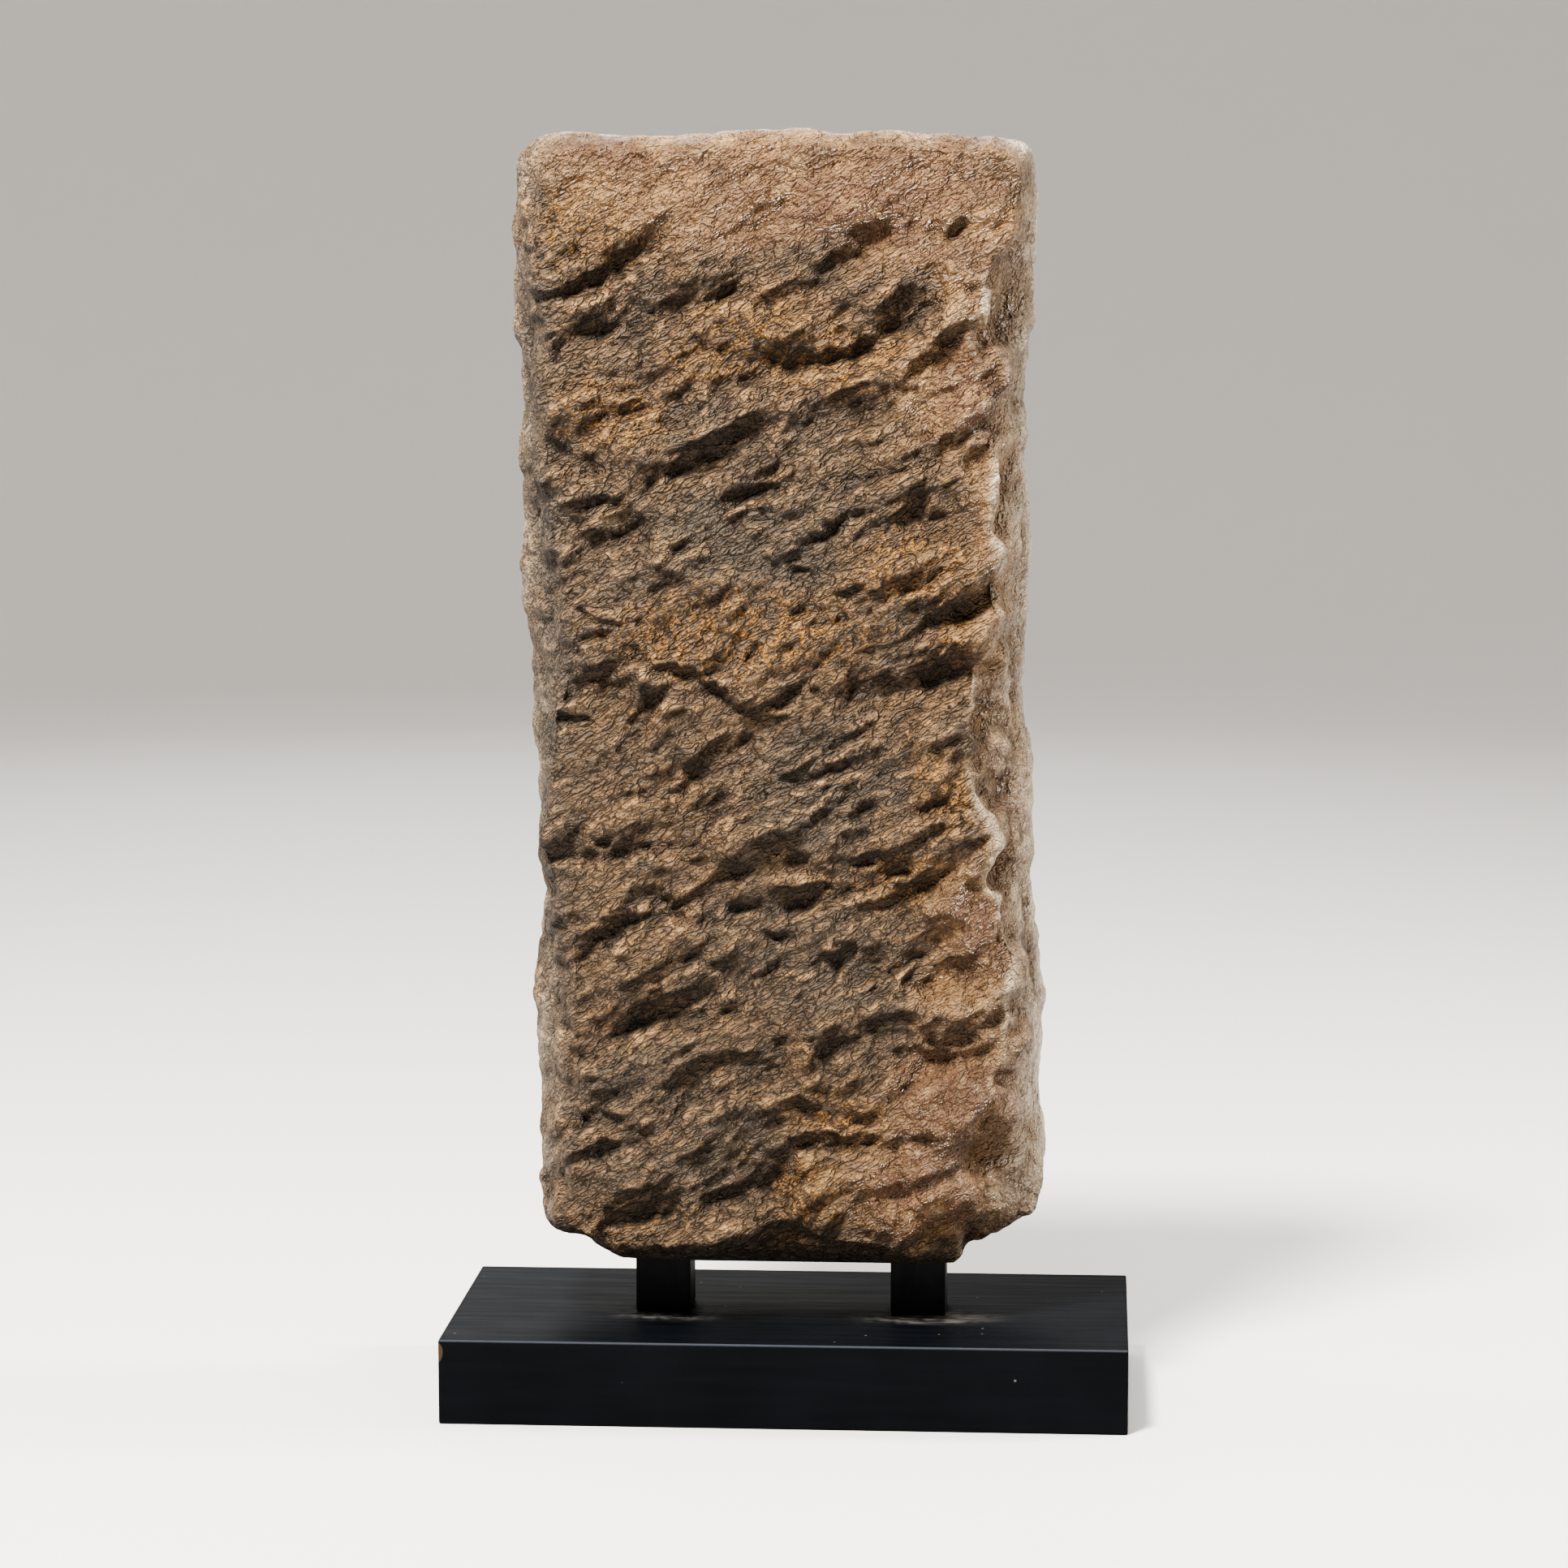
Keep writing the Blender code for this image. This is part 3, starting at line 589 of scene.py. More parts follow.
def turn_depths(columns, rows):
    """The depth of the full outline behind the rough face, round the perimeter."""
    depths = np.repeat([BOTTOM_TURN, RIGHT_TURN, TOP_TURN, LEFT_TURN], [columns, rows] * 2)
    reach = columns // 4
    wrapped = np.concatenate([depths[-reach:], depths, depths[:reach]])
    return np.convolve(wrapped, np.ones(2 * reach + 1) / (2 * reach + 1), "valid")


def stone_loops(seat):
    """Loops of points from the rough face's edge round to the dressed face's, and how much of
    the rough face's cutting each one takes."""
    across, up = perimeter(FACE_COLUMNS, FACE_ROWS)
    face_x, face_z = outline(across, up, FACE_INSET, seat)
    face_y = np.full_like(face_x, FACE_DROP)
    full_x, full_z = outline(across, up, NO_INSET, seat)
    full_y = turn_depths(FACE_COLUMNS, FACE_ROWS)
    loops = []
    for ring in range(1, BEVEL_RINGS + 1):
        share = ring / BEVEL_RINGS
        bulge = share * (1 - share) * EDGE_BULGE
        out, back = share + bulge, share - bulge
        x = face_x + (full_x - face_x) * out
        z = face_z + (full_z - face_z) * out
        loops.append((x, face_y + (full_y - face_y) * back, z, float(smooth_step(1 - share))))
    for ring in range(1, SIDE_RINGS + 1):
        share = ring / SIDE_RINGS
        y = full_y + (STONE_THICKNESS - DRESSED_ARRIS - full_y) * share
        loops.append((full_x[::2], y[::2], full_z[::2], 0.0))
    return loops


def strip(first, second):
    """Faces between two closed loops of vertex numbers; the second has as many or half as many."""
    count, faces = len(second), []
    halved = len(first) == 2 * count
    for here in range(count):
        after = (here + 1) % count
        if halved:
            a, b, c = first[2 * here], first[2 * here + 1], first[(2 * here + 2) % len(first)]
            faces += [(a, second[here], b), (b, second[here], second[after]), (b, second[after], c)]
        else:
            faces.append((first[here], second[here], second[after], first[after]))
    return faces


def grid_faces(numbers, towards_viewer):
    corners = [numbers[:-1, :-1], numbers[1:, :-1], numbers[1:, 1:], numbers[:-1, 1:]]
    if not towards_viewer:
        corners.reverse()
    return np.stack([corner.ravel() for corner in corners], axis=1).tolist()


def grid_rim(numbers):
    """The grid's border, anticlockwise from its lower left corner."""
    return [*numbers[:-1, 0], *numbers[-1, :-1], *numbers[:0:-1, -1], *numbers[0, :0:-1]]


def square_grid(columns, rows):
    spans = np.linspace(-1, 1, columns + 1), np.linspace(-1, 1, rows + 1)
    return np.meshgrid(*spans, indexing="ij")


def stone_form(seat):
    """The uncut stone: its points, each one's share of the rough face, its faces and face grid."""
    blocks, shares, faces = [], [], []
    across, up = square_grid(FACE_COLUMNS, FACE_ROWS)
    x, z = outline(across, up, FACE_INSET, seat)
    y = FACE_DROP * np.maximum(np.abs(across), np.abs(up)) ** 8
    face = np.arange(x.size).reshape(x.shape)
    blocks.append(np.stack([x.ravel(), y.ravel(), z.ravel()], axis=1))
    shares.append(np.ones(x.size))
    faces += grid_faces(face, True)
    last, count = grid_rim(face), x.size
    for x, y, z, share in stone_loops(seat):
        loop = list(range(count, count + x.size))
        blocks.append(np.stack([x, y, z], axis=1))
        shares.append(np.full(x.size, share))
        faces += strip(last, loop)
        last, count = loop, count + x.size
    across, up = square_grid(FACE_COLUMNS // 4, FACE_ROWS // 4)
    x, z = outline(across, up, DRESSED_INSET, seat)
    dressed = count + np.arange(x.size).reshape(x.shape)
    blocks.append(np.stack([x.ravel(), np.full(x.size, STONE_THICKNESS), z.ravel()], axis=1))
    shares.append(np.zeros(x.size))
    faces += strip(last, grid_rim(dressed))
    faces += grid_faces(dressed, False)
    return np.concatenate(blocks), np.concatenate(shares), faces, face


def vertex_normals(points, faces):
    mesh = bpy.data.meshes.new("uncut stone")
    mesh.from_pydata(points.tolist(), [], faces)
    normals = np.empty(len(points) * 3, np.float32)
    mesh.vertex_normals.foreach_get("vector", normals)
    bpy.data.meshes.remove(mesh)
    return normals.reshape(-1, 3).astype(float)


def blurred(field, reach):
    """The field averaged over a square of places."""
    for axis in (0, 1):
        padded = np.pad(field, [(reach, reach) if axis == a else (0, 0) for a in (0, 1)], "edge")
        sums = np.cumsum(padded, axis=axis)
        sums = np.insert(sums, 0, 0, axis=axis)
        high = np.take(sums, range(2 * reach + 1, sums.shape[axis]), axis=axis)
        low = np.take(sums, range(sums.shape[axis] - 2 * reach - 1), axis=axis)
        field = (high - low) / (2 * reach + 1)
    return field


def cut_depths(stone, share):
    """How far each point is cut back, and the parts of that which its finish follows."""
    y, z = stone.points[:, 1], stone.points[:, 2]
    lifted = smooth_step(z / FOOT_FADE)
    before = smooth_step((STONE_THICKNESS - y) / BACK_FADE)
    parts = {
        "ridge": stone.ridge(),
        "groove": stone.groove() * (1 - share),
        "scars": stone.scars(),
        "side": stone.side_cut() * np.minimum((1 - share) * 3, 1) * lifted * before,
    }
    arris = parts["groove"] * GROOVE_DEPTH - parts["ridge"] * RIDGE_HEIGHT
    cut = stone.cut() * share
    cut += parts["scars"] * np.clip((SCAR_REACH - y) / SCAR_FADE, 0, 1) * lifted
    cut += parts["side"] + arris * lifted * before
    return cut, parts


def hollows_and_crests(points, face, side):
    """Where the cut surface lies in behind what is round it, and where it stands out, 0..1."""
    hollow = np.clip((side - 0.4) / 2.8, 0, 1)
    crest = np.clip((0.3 - side) / 2, 0, 1)
    depth = points[face, 1]
    near = depth - blurred(depth, NEAR_REACH)
    wide = depth - blurred(depth, WIDE_REACH)
    hollow[face.ravel()] = np.clip(near / NEAR_HOLLOW + wide / WIDE_HOLLOW, 0, 1).ravel()
    crest[face.ravel()] = np.clip(-near / FACE_CREST, 0, 1).ravel()
    return hollow, crest


def finish_and_painted_light(stone, points, share, face, facing, parts):
    """How much of each finish, of painted shade (hollow) and of painted highlight (crest) shows at
    each point; facing is how far its surface looks up.
    """
    ridge = parts["ridge"]
    hollow, crest = hollows_and_crests(points, face, parts["side"])
    # Painted shade: surfaces that face down, the scars and the groove are darkened as hollows.
    under = smooth_step((-facing - 0.1) / 0.6)
    for deep in (under, parts["scars"] / SCAR_HOLLOW, parts["groove"] * 0.8):
        hollow = np.maximum(hollow, deep)
    # Painted highlight: crests, more where they face up, and the ridge along the right-hand arris.
    crest = np.clip(crest * (0.5 + facing) * 1.5, 0, 1)
    back = points[:, 1] - STONE_THICKNESS
    dressed = smooth_step((back + 6) / 6)
    plain = 1 - 0.8 * smooth_step(1 + back / (STONE_THICKNESS / 2))
    broken = np.maximum(stone.broken(), ridge) * (1 - dressed)
    return {
        "bare": stone.bare * plain + (0.8 - 0.2 * stone.bare) * dressed,
        "ochre": stone.ochre * plain,
        "clay": stone.clay * plain,
        "stain": stone.stain * plain,
        "hollow": np.clip(hollow * (1 - ridge), 0, 1),
        "crest": np.maximum(crest, ridge * (0.6 + 0.4 * facing)),
        "broken": np.maximum(1 - share, 0.8 * ridge) * broken,
        "dressed": dressed,
    }


def add_object(name, data):
    made = bpy.data.objects.new(name, data)
    bpy.context.scene.collection.objects.link(made)
    return made


def make_stele(material):
    left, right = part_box("post_left"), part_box("post_right")
    seat = right[1][0] / MM + SEAT_MARGIN
    foot = left[1][2] + REST_GAP
    points, share, faces, face = stone_form(seat)
    stone = Stone(points)
    cut, parts = cut_depths(stone, share)
    points = points - vertex_normals(points, faces) * cut[:, None]
    facing = vertex_normals(points, faces)[:, 2]
    mesh = bpy.data.meshes.new("stele_stone")
    places = points * MM + np.array([0, -STONE_THICKNESS * MM / 2, foot])
    mesh.from_pydata(places.tolist(), [], faces)
    mesh.shade_smooth()
    for name, values in finish_and_painted_light(stone, points, share, face, facing, parts).items():
        layer = mesh.attributes.new(name, "FLOAT", "POINT")
        layer.data.foreach_set("value", values.astype(np.float32))
    mesh.materials.append(material)
    return add_object("stele_stone", mesh)


def new_material(name, **values):
    material = bpy.data.materials.new(name)
    material.use_nodes = True
    shader = material.node_tree.nodes["Principled BSDF"]
    for title, value in values.items():
        shader.inputs[title.replace("_", " ")].default_value = value
    return material, material.node_tree, shader


def feed(tree, socket, value):
    """Links an output to a socket, or sets the socket to a plain value."""
    if isinstance(value, bpy.types.NodeSocket):
        tree.links.new(value, socket)
    elif isinstance(value, tuple) and len(value) == 3 and socket.type == "RGBA":
        socket.default_value = (*value, 1)
    else:
        socket.default_value = value


def calc(tree, operation, first, second=0.0, clamp=False):
    node = tree.nodes.new("ShaderNodeMath")
    node.operation = operation
    node.use_clamp = clamp
    feed(tree, node.inputs[0], first)
    feed(tree, node.inputs[1], second)
    return node.outputs[0]


def times(tree, first, second):
    return calc(tree, "MULTIPLY", first, second)


def rest(tree, share):
    return calc(tree, "SUBTRACT", 1.0, share)


def blend(tree, share, first, second):
    """Goes from the first colour to the second as share goes from 0 to 1."""
    node = tree.nodes.new("ShaderNodeMix")
    node.data_type = "RGBA"
    feed(tree, node.inputs["Factor"], share)
    feed(tree, node.inputs[6], first)
    feed(tree, node.inputs[7], second)
    return node.outputs[2]


def span(tree, value, low, high, to_low=0.0, to_high=1.0):
    """Takes value from low..high to to_low..to_high, held at both ends."""
    node = tree.nodes.new("ShaderNodeMapRange")
    node.interpolation_type = "SMOOTHSTEP"
    feed(tree, node.inputs["Value"], value)
    feed(tree, node.inputs["From Min"], low)
    feed(tree, node.inputs["From Max"], high)
    feed(tree, node.inputs["To Min"], to_low)
    feed(tree, node.inputs["To Max"], to_high)
    return node.outputs[0]


def mark(tree, name):
    node = tree.nodes.new("ShaderNodeAttribute")
    node.attribute_name = name
    return node.outputs["Fac"]


def place(tree):
    return tree.nodes.new("ShaderNodeTexCoord").outputs["Object"]


def new_group(name, sizes):
    """A shader group that takes a place and these named values and puts out one mask."""
    group = bpy.data.node_groups.new(name, "ShaderNodeTree")
    group.interface.new_socket("Place", in_out="INPUT", socket_type="NodeSocketVector")
    for title, value in sizes.items():
        socket = group.interface.new_socket(title, in_out="INPUT", socket_type="NodeSocketFloat")
        socket.default_value = value
    group.interface.new_socket("Mask", in_out="OUTPUT", socket_type="NodeSocketFloat")
    return group, group.nodes.new("NodeGroupInput").outputs, group.nodes.new("NodeGroupOutput")


def cloud(group, vector, scale, detail, rough=0.55):
    node = group.nodes.new("ShaderNodeTexNoise")
    feed(group, node.inputs["Vector"], vector)
    feed(group, node.inputs["Scale"], scale)
    feed(group, node.inputs["Detail"], detail)
    node.inputs["Roughness"].default_value = rough
    return node.outputs["Fac"]


def mottle_group():
    """Soft clouds of one size in millimetres."""
    group, given, out = new_group("mottle", {"Size": 20.0, "Contrast": 3.0, "Detail": 1.5})
    scale = calc(group, "DIVIDE", 1 / MM, given["Size"])
    value = cloud(group, given["Place"], scale, given["Detail"])
    value = calc(group, "SUBTRACT", value, 0.5)
    value = times(group, value, given["Contrast"])
    value = calc(group, "ADD", value, 0.5, clamp=True)
    feed(group, out.inputs["Mask"], value)
    return group


def drawn_out(group, given):
    """The place, turned by Tilt across the front and drawn out along it by Stretch."""
    turn = group.nodes.new("ShaderNodeCombineXYZ")
    feed(group, turn.inputs["Y"], times(group, given["Tilt"], -1.0))
    stretch = group.nodes.new("ShaderNodeCombineXYZ")
    feed(group, stretch.inputs["X"], given["Stretch"])
    stretch.inputs["Y"].default_value = 1.0
    stretch.inputs["Z"].default_value = 1.0
    mapping = group.nodes.new("ShaderNodeMapping")
    mapping.vector_type = "TEXTURE"
    feed(group, mapping.inputs["Vector"], given["Place"])
    feed(group, mapping.inputs["Rotation"], turn.outputs[0])
    feed(group, mapping.inputs["Scale"], stretch.outputs[0])
    return mapping.outputs[0]


def grain_group():
    """Streaks a few times longer than they are wide, running along a tilt across the front."""
    group, given, out = new_group("grain", {"Size": 1.6, "Stretch": 8.0, "Tilt": GRAIN_TILT})
    scale = calc(group, "DIVIDE", 1 / MM, given["Size"])
    value = cloud(group, drawn_out(group, given), scale, 1.5, 0.6)
    feed(group, out.inputs["Mask"], span(group, value, 0.3, 0.7))
    return group


def wrinkle_group():
    """Thin creases between small scales drawn out along a tilt across the front."""
    sizes = {"Size": 3.0, "Stretch": 2.6, "Tilt": GRAIN_TILT, "Width": 0.05}
    group, given, out = new_group("wrinkle", sizes)
    scale = calc(group, "DIVIDE", 1 / MM, given["Size"])
    value = cloud(group, drawn_out(group, given), scale, 1.0)
    off = calc(group, "ABSOLUTE", calc(group, "SUBTRACT", value, 0.5))
    feed(group, out.inputs["Mask"], span(group, off, given["Width"], 0.0))
    return group


def speckle_group():
    """Scattered specks: the share of cells that hold one goes up with Amount."""
    group, given, out = new_group("speckle", {"Size": 2.0, "Amount": 0.3})
    cells = group.nodes.new("ShaderNodeTexVoronoi")
    feed(group, cells.inputs["Vector"], given["Place"])
    feed(group, cells.inputs["Scale"], calc(group, "DIVIDE", 1 / MM, given["Size"]))
    split = group.nodes.new("ShaderNodeSeparateColor")
    feed(group, split.inputs[0], cells.outputs["Color"])
    chosen = calc(group, "LESS_THAN", split.outputs[0], given["Amount"])
    speck = span(group, cells.outputs["Distance"], 0.45, 0.2)
    feed(group, out.inputs["Mask"], times(group, chosen, speck))
    return group


def use(tree, group, **values):
    node = tree.nodes.new("ShaderNodeGroup")
    node.node_tree = group
    feed(tree, node.inputs["Place"], place(tree))
    for title, value in values.items():
        feed(tree, node.inputs[title], value)
    return node.outputs["Mask"]


def coat(tree, shader, colour, rough, height, distance):
    """Sets a shader's colour, roughness and fine relief, which is distance metres at height 1."""
    feed(tree, shader.inputs["Base Color"], colour)
    feed(tree, shader.inputs["Roughness"], rough)
    bump = tree.nodes.new("ShaderNodeBump")
    bump.inputs["Distance"].default_value = distance
    bump.inputs["Strength"].default_value = 1.0
    feed(tree, bump.inputs["Height"], height)
    feed(tree, shader.inputs["Normal"], bump.outputs["Normal"])


def stone_masks(tree, mottle, grain, speckle, wrinkle):
    """The stone's marks, and the textures that its colours and its relief share."""
    names = ("bare", "ochre", "clay", "stain", "hollow", "crest", "broken", "dressed")
    masks = SimpleNamespace(**{name: mark(tree, name) for name in names})
    masks.drift = use(tree, mottle, Size=60.0, Detail=3.0)
    masks.cloudy = use(tree, mottle, Size=17.0, Detail=3.0)
    masks.soot = use(tree, mottle, Size=9.0)
    masks.fine = use(tree, mottle, Size=5.0)
    masks.sugar = use(tree, mottle, Size=2.6)
    masks.grit = use(tree, mottle, Size=1.4)
    masks.flecks = use(tree, speckle, Size=3.4, Amount=0.25)
    masks.fibre = use(tree, grain, Size=1.0, Stretch=4.0)
    scales = use(tree, wrinkle, Size=7.0, Width=0.035)
    creases = use(tree, wrinkle, Size=3.6, Width=0.05)
    fracture = use(tree, wrinkle, Size=11.0, Stretch=1.3, Width=0.02)
    masks.fresh = calc(tree, "MAXIMUM", masks.bare, masks.broken)
    masks.crisp = times(tree, fracture, masks.fresh)
    lines = calc(tree, "MAXIMUM", scales, times(tree, creases, 0.7))
    masks.lines = times(tree, lines, rest(tree, times(tree, masks.fresh, 0.75)))
    return masks


def patina_colour(tree, masks):
    """Brown patina with grey clay film, ochre crusts, dark flecks, and painted highlights of gold
    and tan on crests that face up.
    """
    cloudy, fine, crest = masks.cloudy, masks.fine, masks.crest
    colour = blend(tree, cloudy, PATINA_DARK, PATINA_BROWN)
    colour = blend(tree, times(tree, fine, 0.45), colour, PATINA_TAN)
    film = times(tree, masks.clay, span(tree, masks.drift, 0.2, 0.8, 0.2, 0.7))
    colour = blend(tree, film, colour, CLAY_GREY)
    gold = blend(tree, masks.grit, OCHRE_DARK, OCHRE_GOLD)
    crust_and_highlight = times(tree, masks.ochre, span(tree, fine, 0.25, 0.7, 0.15, 0.9))
    # Painted highlight: gold ochre colour on crests that face up.
    lit = times(tree, crest, span(tree, cloudy, 0.4, 0.7, 0.0, 0.7))
    crust_and_highlight = calc(tree, "MAXIMUM", crust_and_highlight, times(tree, lit, masks.grit))
    colour = blend(tree, crust_and_highlight, colour, gold)
    # Painted highlight: pale tan on crests that face up.
    crest_highlight = times(tree, crest, span(tree, fine, 0.2, 0.8, 0.2, 0.9))
    colour = blend(tree, crest_highlight, colour, CREST_HIGHLIGHT_TAN)
    return blend(tree, times(tree, masks.flecks, 0.35), colour, FLECK_BROWN)


def bare_colour(tree, masks):
    """Honey-coloured stone without patina, with red veins and stains."""
    cloudy, fine = masks.cloudy, masks.fine
    colour = blend(tree, cloudy, STONE_BROWN, STONE_HONEY)
    colour = blend(tree, times(tree, masks.drift, 0.4), colour, STONE_AMBER)
    colour = blend(tree, times(tree, fine, 0.45), colour, STONE_SHADE)
    # Painted highlight on crests of the bare stone.
    colour = blend(tree, times(tree, masks.crest, 0.5), colour, STONE_CREST_HIGHLIGHT)
    off = calc(tree, "ABSOLUTE", calc(tree, "SUBTRACT", cloudy, 0.5))
    vein = times(tree, span(tree, off, 0.12, 0.02), 0.25)
    red = times(tree, masks.stain, span(tree, fine, 0.3, 0.7, 0.25, 1.0))
    red = calc(tree, "MAXIMUM", vein, red)
    return blend(tree, times(tree, red, 0.65), colour, STAIN_RED)


def broken_colour(tree, masks):
    """Pale stone of the broken edges and sides."""
    colour = blend(tree, masks.cloudy, BROKEN_BROWN, BROKEN_CREAM)
    colour = blend(tree, times(tree, masks.drift, 0.35), colour, BROKEN_GREY)
    # Painted highlight on crests of the broken stone.
    colour = blend(tree, times(tree, masks.crest, 0.9), colour, BROKEN_CREST_HIGHLIGHT)
    # Painted shade in hollows of the broken stone.
    return blend(tree, times(tree, masks.hollow, 0.9), colour, BROKEN_HOLLOW_SHADE)


def stone_colour(tree, masks):
    """The three colours where each shows, darkened with painted shade in hollows and creases."""
    broken = masks.broken
    colour = blend(tree, masks.bare, patina_colour(tree, masks), bare_colour(tree, masks))
    colour = blend(tree, times(tree, broken, 0.85), colour, broken_colour(tree, masks))
    keep = rest(tree, times(tree, masks.bare, 0.55))
    # Painted shade in hollows and under overhangs, weaker on bare stone.
    dark = times(tree, times(tree, masks.hollow, keep), 0.7)
    colour = blend(tree, dark, colour, HOLLOW_SHADE_BLACK)
    colour = blend(tree, times(tree, masks.crisp, 0.2), colour, FRACTURE_PALE)
    # Painted shade in the relief's creases and fibre grooves, weaker on bare stone.
    pits = calc(tree, "MAXIMUM", masks.lines, span(tree, masks.fibre, 0.6, 1.0, 0.0, 0.6))
    shade = times(tree, times(tree, pits, 0.55), keep)
    colour = blend(tree, shade, colour, CREASE_SHADE_BLACK)
    soot = times(tree, span(tree, masks.soot, 0.4, 0.0, 0.0, 0.4), broken)
    colour = blend(tree, soot, colour, SOOT_BROWN)
    sugar = times(tree, span(tree, masks.sugar, 0.6, 1.0, 0.0, 0.35), broken)
    return blend(tree, sugar, colour, SUGAR_WHITE)


def stone_height(tree, masks):
    """Grain, grit and creases of the surface, calmer on the dressed face."""
    height = calc(tree, "ADD", times(tree, masks.fibre, -0.5), times(tree, masks.grit, 0.5))
    height = calc(tree, "ADD", height, times(tree, masks.fine, 1.5))
    height = calc(tree, "SUBTRACT", height, times(tree, masks.lines, 1.3))
    height = calc(tree, "ADD", height, times(tree, masks.crisp, 0.9))
    return times(tree, height, rest(tree, times(tree, masks.dressed, 0.7)))


def alabaster(mottle, grain, speckle, wrinkle):
    """Alabaster under a brown patina, with ochre crust, grey clay film and bare broken edges."""
    material, tree, shader = new_material("weathered alabaster", IOR=1.52)
    masks = stone_masks(tree, mottle, grain, speckle, wrinkle)
    rough = span(tree, masks.fresh, 0.0, 1.0, 0.7, 0.38)
    rough = calc(tree, "SUBTRACT", rough, times(tree, masks.grit, 0.15))
    coat(tree, shader, stone_colour(tree, masks), rough, stone_height(tree, masks), 0.0022)
    return material


def oval(tree, middle, half):
    """A soft oval of these half sizes, in metres, round a middle point on the piece."""
    mapping = tree.nodes.new("ShaderNodeMapping")
    mapping.vector_type = "TEXTURE"
    feed(tree, mapping.inputs["Vector"], place(tree))
    mapping.inputs["Location"].default_value = middle
    mapping.inputs["Scale"].default_value = half
    length = tree.nodes.new("ShaderNodeVectorMath")
    length.operation = "LENGTH"
    feed(tree, length.inputs[0], mapping.outputs[0])
    return span(tree, length.outputs["Value"], 1.0, 0.35)


def light_pool_mask(tree, top):
    """Ovals of painted light on the plinth's top at height top, just in front of each post."""
    light_pools = None
    for post, reach in LIGHT_POOLS:
        low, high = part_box(post)
        middle = ((low[0] + high[0]) / 2 + LIGHT_POOL_SHIFT, low[1] - LIGHT_POOL_SHIFT, top)
        light_pool = oval(tree, middle, (reach, LIGHT_POOL_DEPTH, LIGHT_POOL_HEIGHT))
        light_pools = light_pool if light_pools is None else calc(tree, "MAXIMUM", light_pools, light_pool)
    return light_pools


def black_board(mottle, grain, speckle):
    """Matt blue-black paint on the plinth, with painted pools of light round the posts, and chipped
    at a corner.
    """
    material, tree, shader = new_material("black board paint", Specular_IOR_Level=0.12)
    low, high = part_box("plinth")
    streaks = use(tree, grain, Size=5.0, Stretch=14.0, Tilt=0.0)
    strokes = use(tree, grain, Size=1.5, Stretch=9.0, Tilt=0.0)
    cloudy = use(tree, mottle, Size=40.0, Contrast=2.5)
    fine = use(tree, mottle, Size=6.0)
    dots = use(tree, speckle, Size=2.0, Amount=0.002)
    colour = blend(tree, cloudy, (0.0022, 0.003, 0.005), (0.004, 0.0055, 0.0085))
    colour = blend(tree, times(tree, streaks, 0.2), colour, (0.010, 0.013, 0.018))
    light_pools = light_pool_mask(tree, high[2])
    # Painted pools of light on the plinth's top in front of the posts, streaked and mottled.
    pooled_light = times(tree, light_pools, span(tree, strokes, 0.1, 1.0, 0.25, 0.8))
    pooled_light = times(tree, pooled_light, span(tree, fine, 0.0, 0.8, 0.25, 1.0))
    colour = blend(tree, times(tree, pooled_light, light_pools), colour, (0.15, 0.14, 0.13))
    arris = oval(tree, (0, low[1], high[2]), (1.0, ARRIS_WIDTH, ARRIS_WIDTH))
    colour = blend(tree, times(tree, arris, 0.5), colour, (0.10, 0.115, 0.14))
    chip = oval(tree, (low[0], low[1], high[2] - CHIP_SIZE[2]), CHIP_SIZE)
    ragged = times(tree, chip, calc(tree, "ADD", fine, 0.3))
    chip = calc(tree, "GREATER_THAN", ragged, 0.3)
    colour = blend(tree, chip, colour, (0.075, 0.048, 0.032))
    colour = blend(tree, dots, colour, (0.12, 0.12, 0.125))
    rough = span(tree, streaks, 0.0, 1.0, 0.5, 0.56)
    height = calc(tree, "SUBTRACT", streaks, times(tree, chip, 4.0))
    coat(tree, shader, colour, rough, height, 0.00008)
    return material


def black_steel(mottle, grain):
    """Blackened square bar with faint marks from drawing."""
    material, tree, shader = new_material("blackened steel", Specular_IOR_Level=0.2)
    drawn = use(tree, grain, Size=1.2, Stretch=18.0, Tilt=math.pi / 2)
    cloudy = use(tree, mottle, Size=12.0, Contrast=2.5)
    colour = blend(tree, cloudy, (0.007, 0.008, 0.010), (0.016, 0.017, 0.020))
    colour = blend(tree, times(tree, drawn, 0.3), colour, (0.03, 0.03, 0.033))
    coat(tree, shader, colour, span(tree, drawn, 0.0, 1.0, 0.45, 0.6), drawn, 0.00005)
    return material


def dress(node, material):
    """Gives a CAD node its finish."""
    node.data.materials.clear()
    node.data.materials.append(material)


def studio_profile():
    """The floor's radius and height from its middle out, and up the wall."""
    profile = [(0.0, 0.0), (1.0, 0.0), (FLOOR_RADIUS, 0.0)]
    for step in range(1, CURVE_STEPS + 1):
        turn = math.pi / 2 * step / CURVE_STEPS
        out = FLOOR_RADIUS + CURVE_RADIUS * math.sin(turn)
        profile.append((out, CURVE_RADIUS - CURVE_RADIUS * math.cos(turn)))
    profile.append((FLOOR_RADIUS + CURVE_RADIUS, WALL_HEIGHT))
    return profile


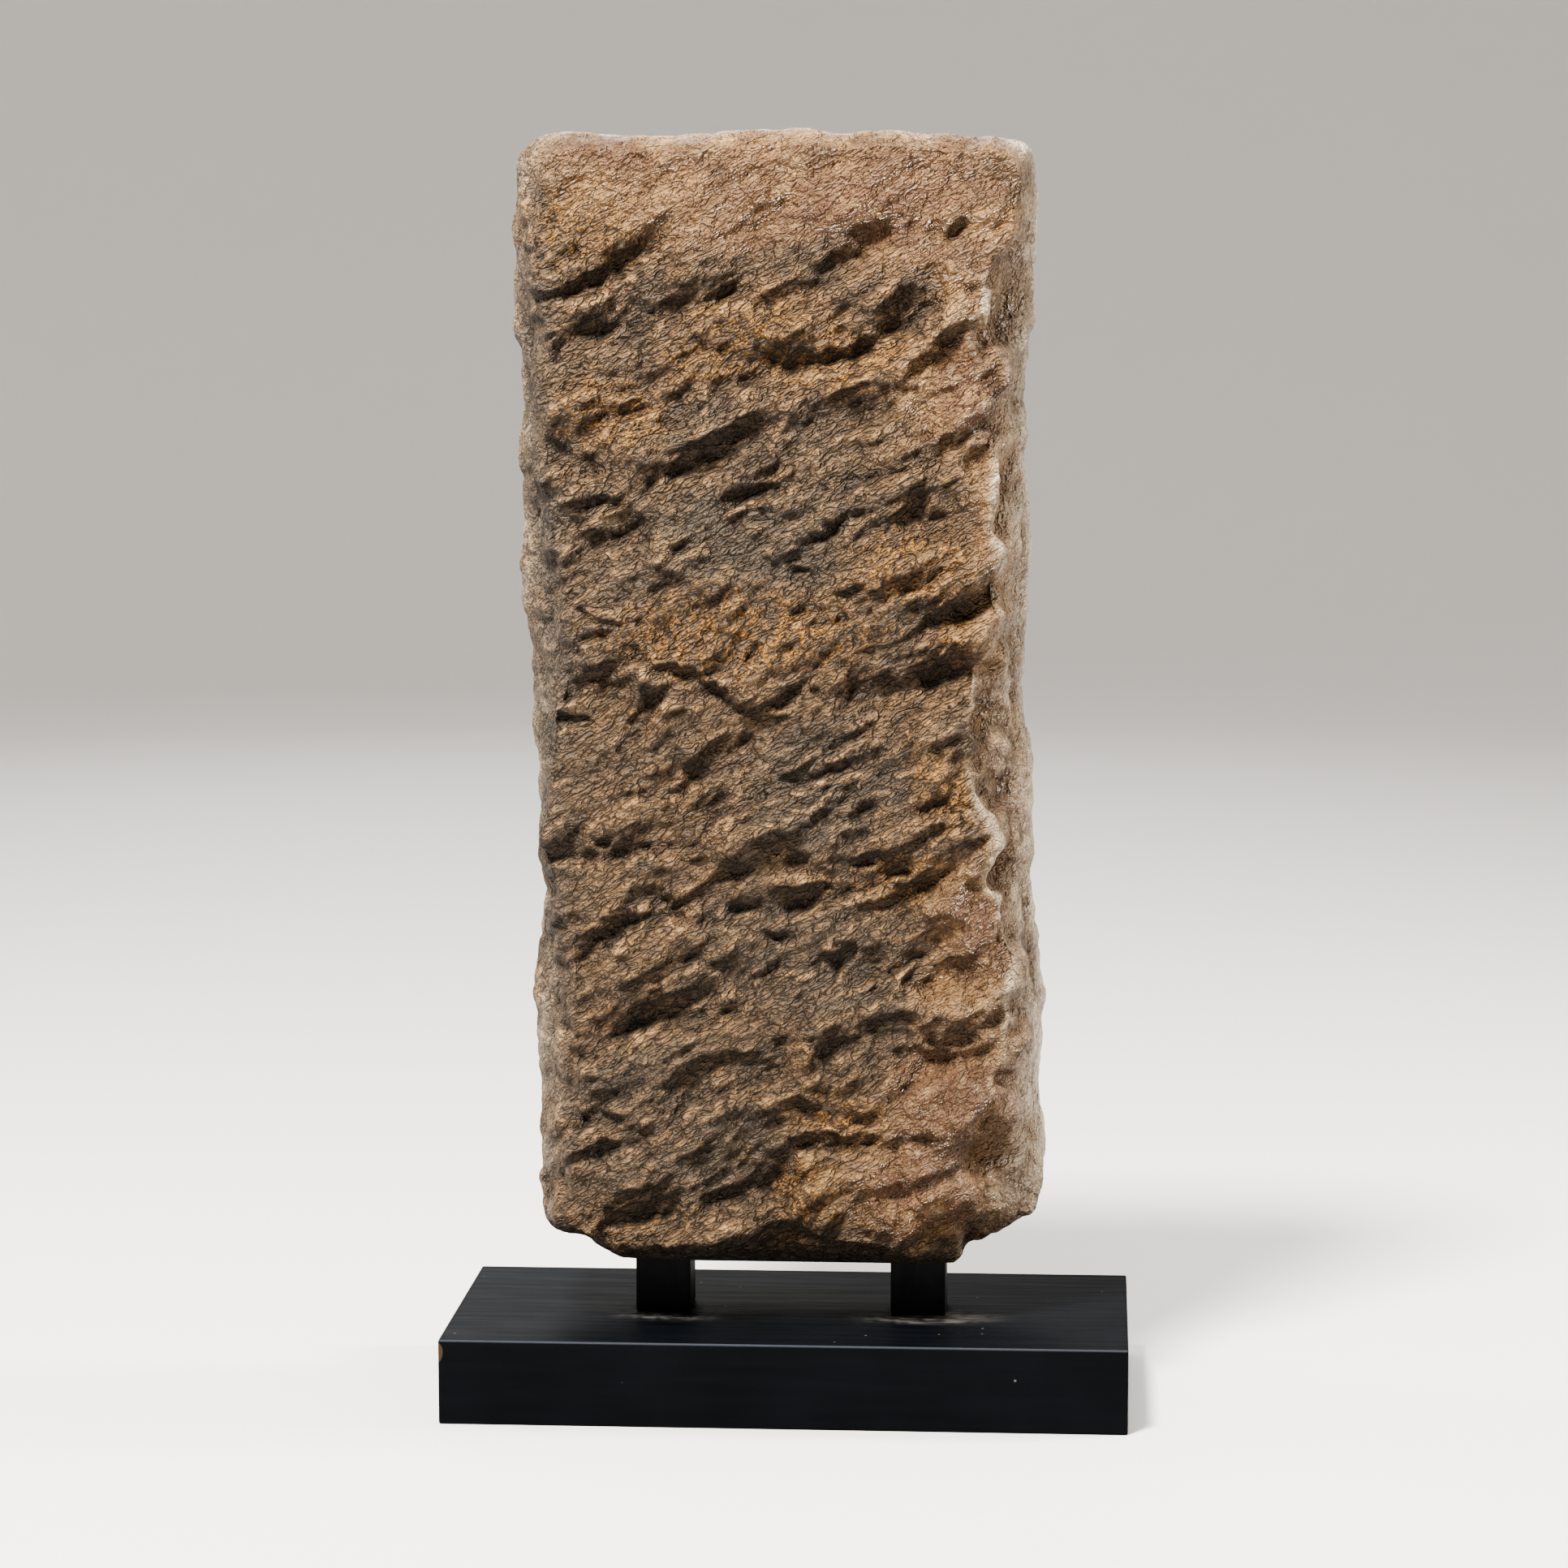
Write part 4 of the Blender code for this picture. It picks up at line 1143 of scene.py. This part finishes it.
def make_studio():
    """A plain pale floor that turns up into a wall all round, far from the object."""
    profile = studio_profile()
    points = [(0.0, 0.0, 0.0)]
    for radius, height in profile[1:]:
        for step in range(STUDIO_SIDES):
            turn = 2 * math.pi * step / STUDIO_SIDES
            points.append((radius * math.cos(turn), radius * math.sin(turn), height))
    faces = [(0, 1 + i, 1 + (i + 1) % STUDIO_SIDES) for i in range(STUDIO_SIDES)]
    for ring in range(len(profile) - 2):
        start = 1 + ring * STUDIO_SIDES
        beyond = start + STUDIO_SIDES
        for i in range(STUDIO_SIDES):
            after = (i + 1) % STUDIO_SIDES
            faces.append((start + i, beyond + i, beyond + after, start + after))
    mesh = bpy.data.meshes.new("studio")
    mesh.from_pydata(points, [], faces)
    mesh.shade_smooth()
    material, _, shader = new_material("pale studio paper", Roughness=0.9)
    shader.inputs["Base Color"].default_value = (0.72, 0.71, 0.70, 1)
    mesh.materials.append(material)
    add_object("studio", mesh)


def add_light(name, spot, target, size, watts, colour=(1, 1, 1)):
    data = bpy.data.lights.new(name, "AREA")
    data.shape = "DISK"
    data.size = size
    data.energy = watts
    data.color = colour
    light = add_object(name, data)
    light.location = spot
    light.rotation_euler = (Vector(target) - Vector(spot)).to_track_quat("-Z", "Y").to_euler()


def make_lights():
    middle = (0, 0, 0.34)
    add_light("key", (-0.5, -1.0, 2.2), middle, 0.45, 130, (1.0, 0.94, 0.86))
    add_light("overhead", (0, 0.1, 3.4), (0, 0, 0), 1.4, 30, (1.0, 0.98, 0.95))
    add_light("right rim", (1.5, 0.25, 1.0), middle, 0.4, 26, (1.0, 0.97, 0.92))
    add_light("left rim", (-1.5, 0.3, 0.95), middle, 0.4, 8, (0.95, 0.97, 1.0))
    add_light("back fill", (-0.6, 2.4, 1.6), middle, 1.4, 12)
    world = bpy.data.worlds.new("studio air")
    world.use_nodes = True
    air = world.node_tree.nodes["Background"]
    air.inputs["Color"].default_value = (0.93, 0.96, 1.0, 1)
    air.inputs["Strength"].default_value = 0.15
    bpy.context.scene.world = world
    bpy.context.scene.view_settings.look = "AgX - High Contrast"


def make_camera():
    data = bpy.data.cameras.new("camera")
    data.sensor_width = SENSOR_WIDTH
    data.lens = FOCAL_LENGTH
    camera = add_object("camera", data)
    turn = Matrix.Rotation(math.radians(CAMERA_TURN), 4, "Z")
    tip = Matrix.Rotation(math.radians(90 - CAMERA_DIP), 4, "X")
    roll = Matrix.Rotation(math.radians(CAMERA_ROLL), 4, "Z")
    camera.matrix_world = Matrix.Translation(CAMERA_PLACE) @ turn @ tip @ roll
    bpy.context.scene.camera = camera


def main():
    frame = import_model()
    make_camera()
    make_lights()
    make_studio()
    groups = (mottle_group(), grain_group(), speckle_group())
    stele = make_stele(alabaster(*groups, wrinkle_group()))
    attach(stele, "root")
    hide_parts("stele")
    dress(frame["nodes"]["plinth"], black_board(*groups))
    steel = black_steel(*groups[:2])
    for name in ("post_left", "post_right"):
        dress(frame["nodes"][name], steel)
    bpy.context.view_layer.update()


main()
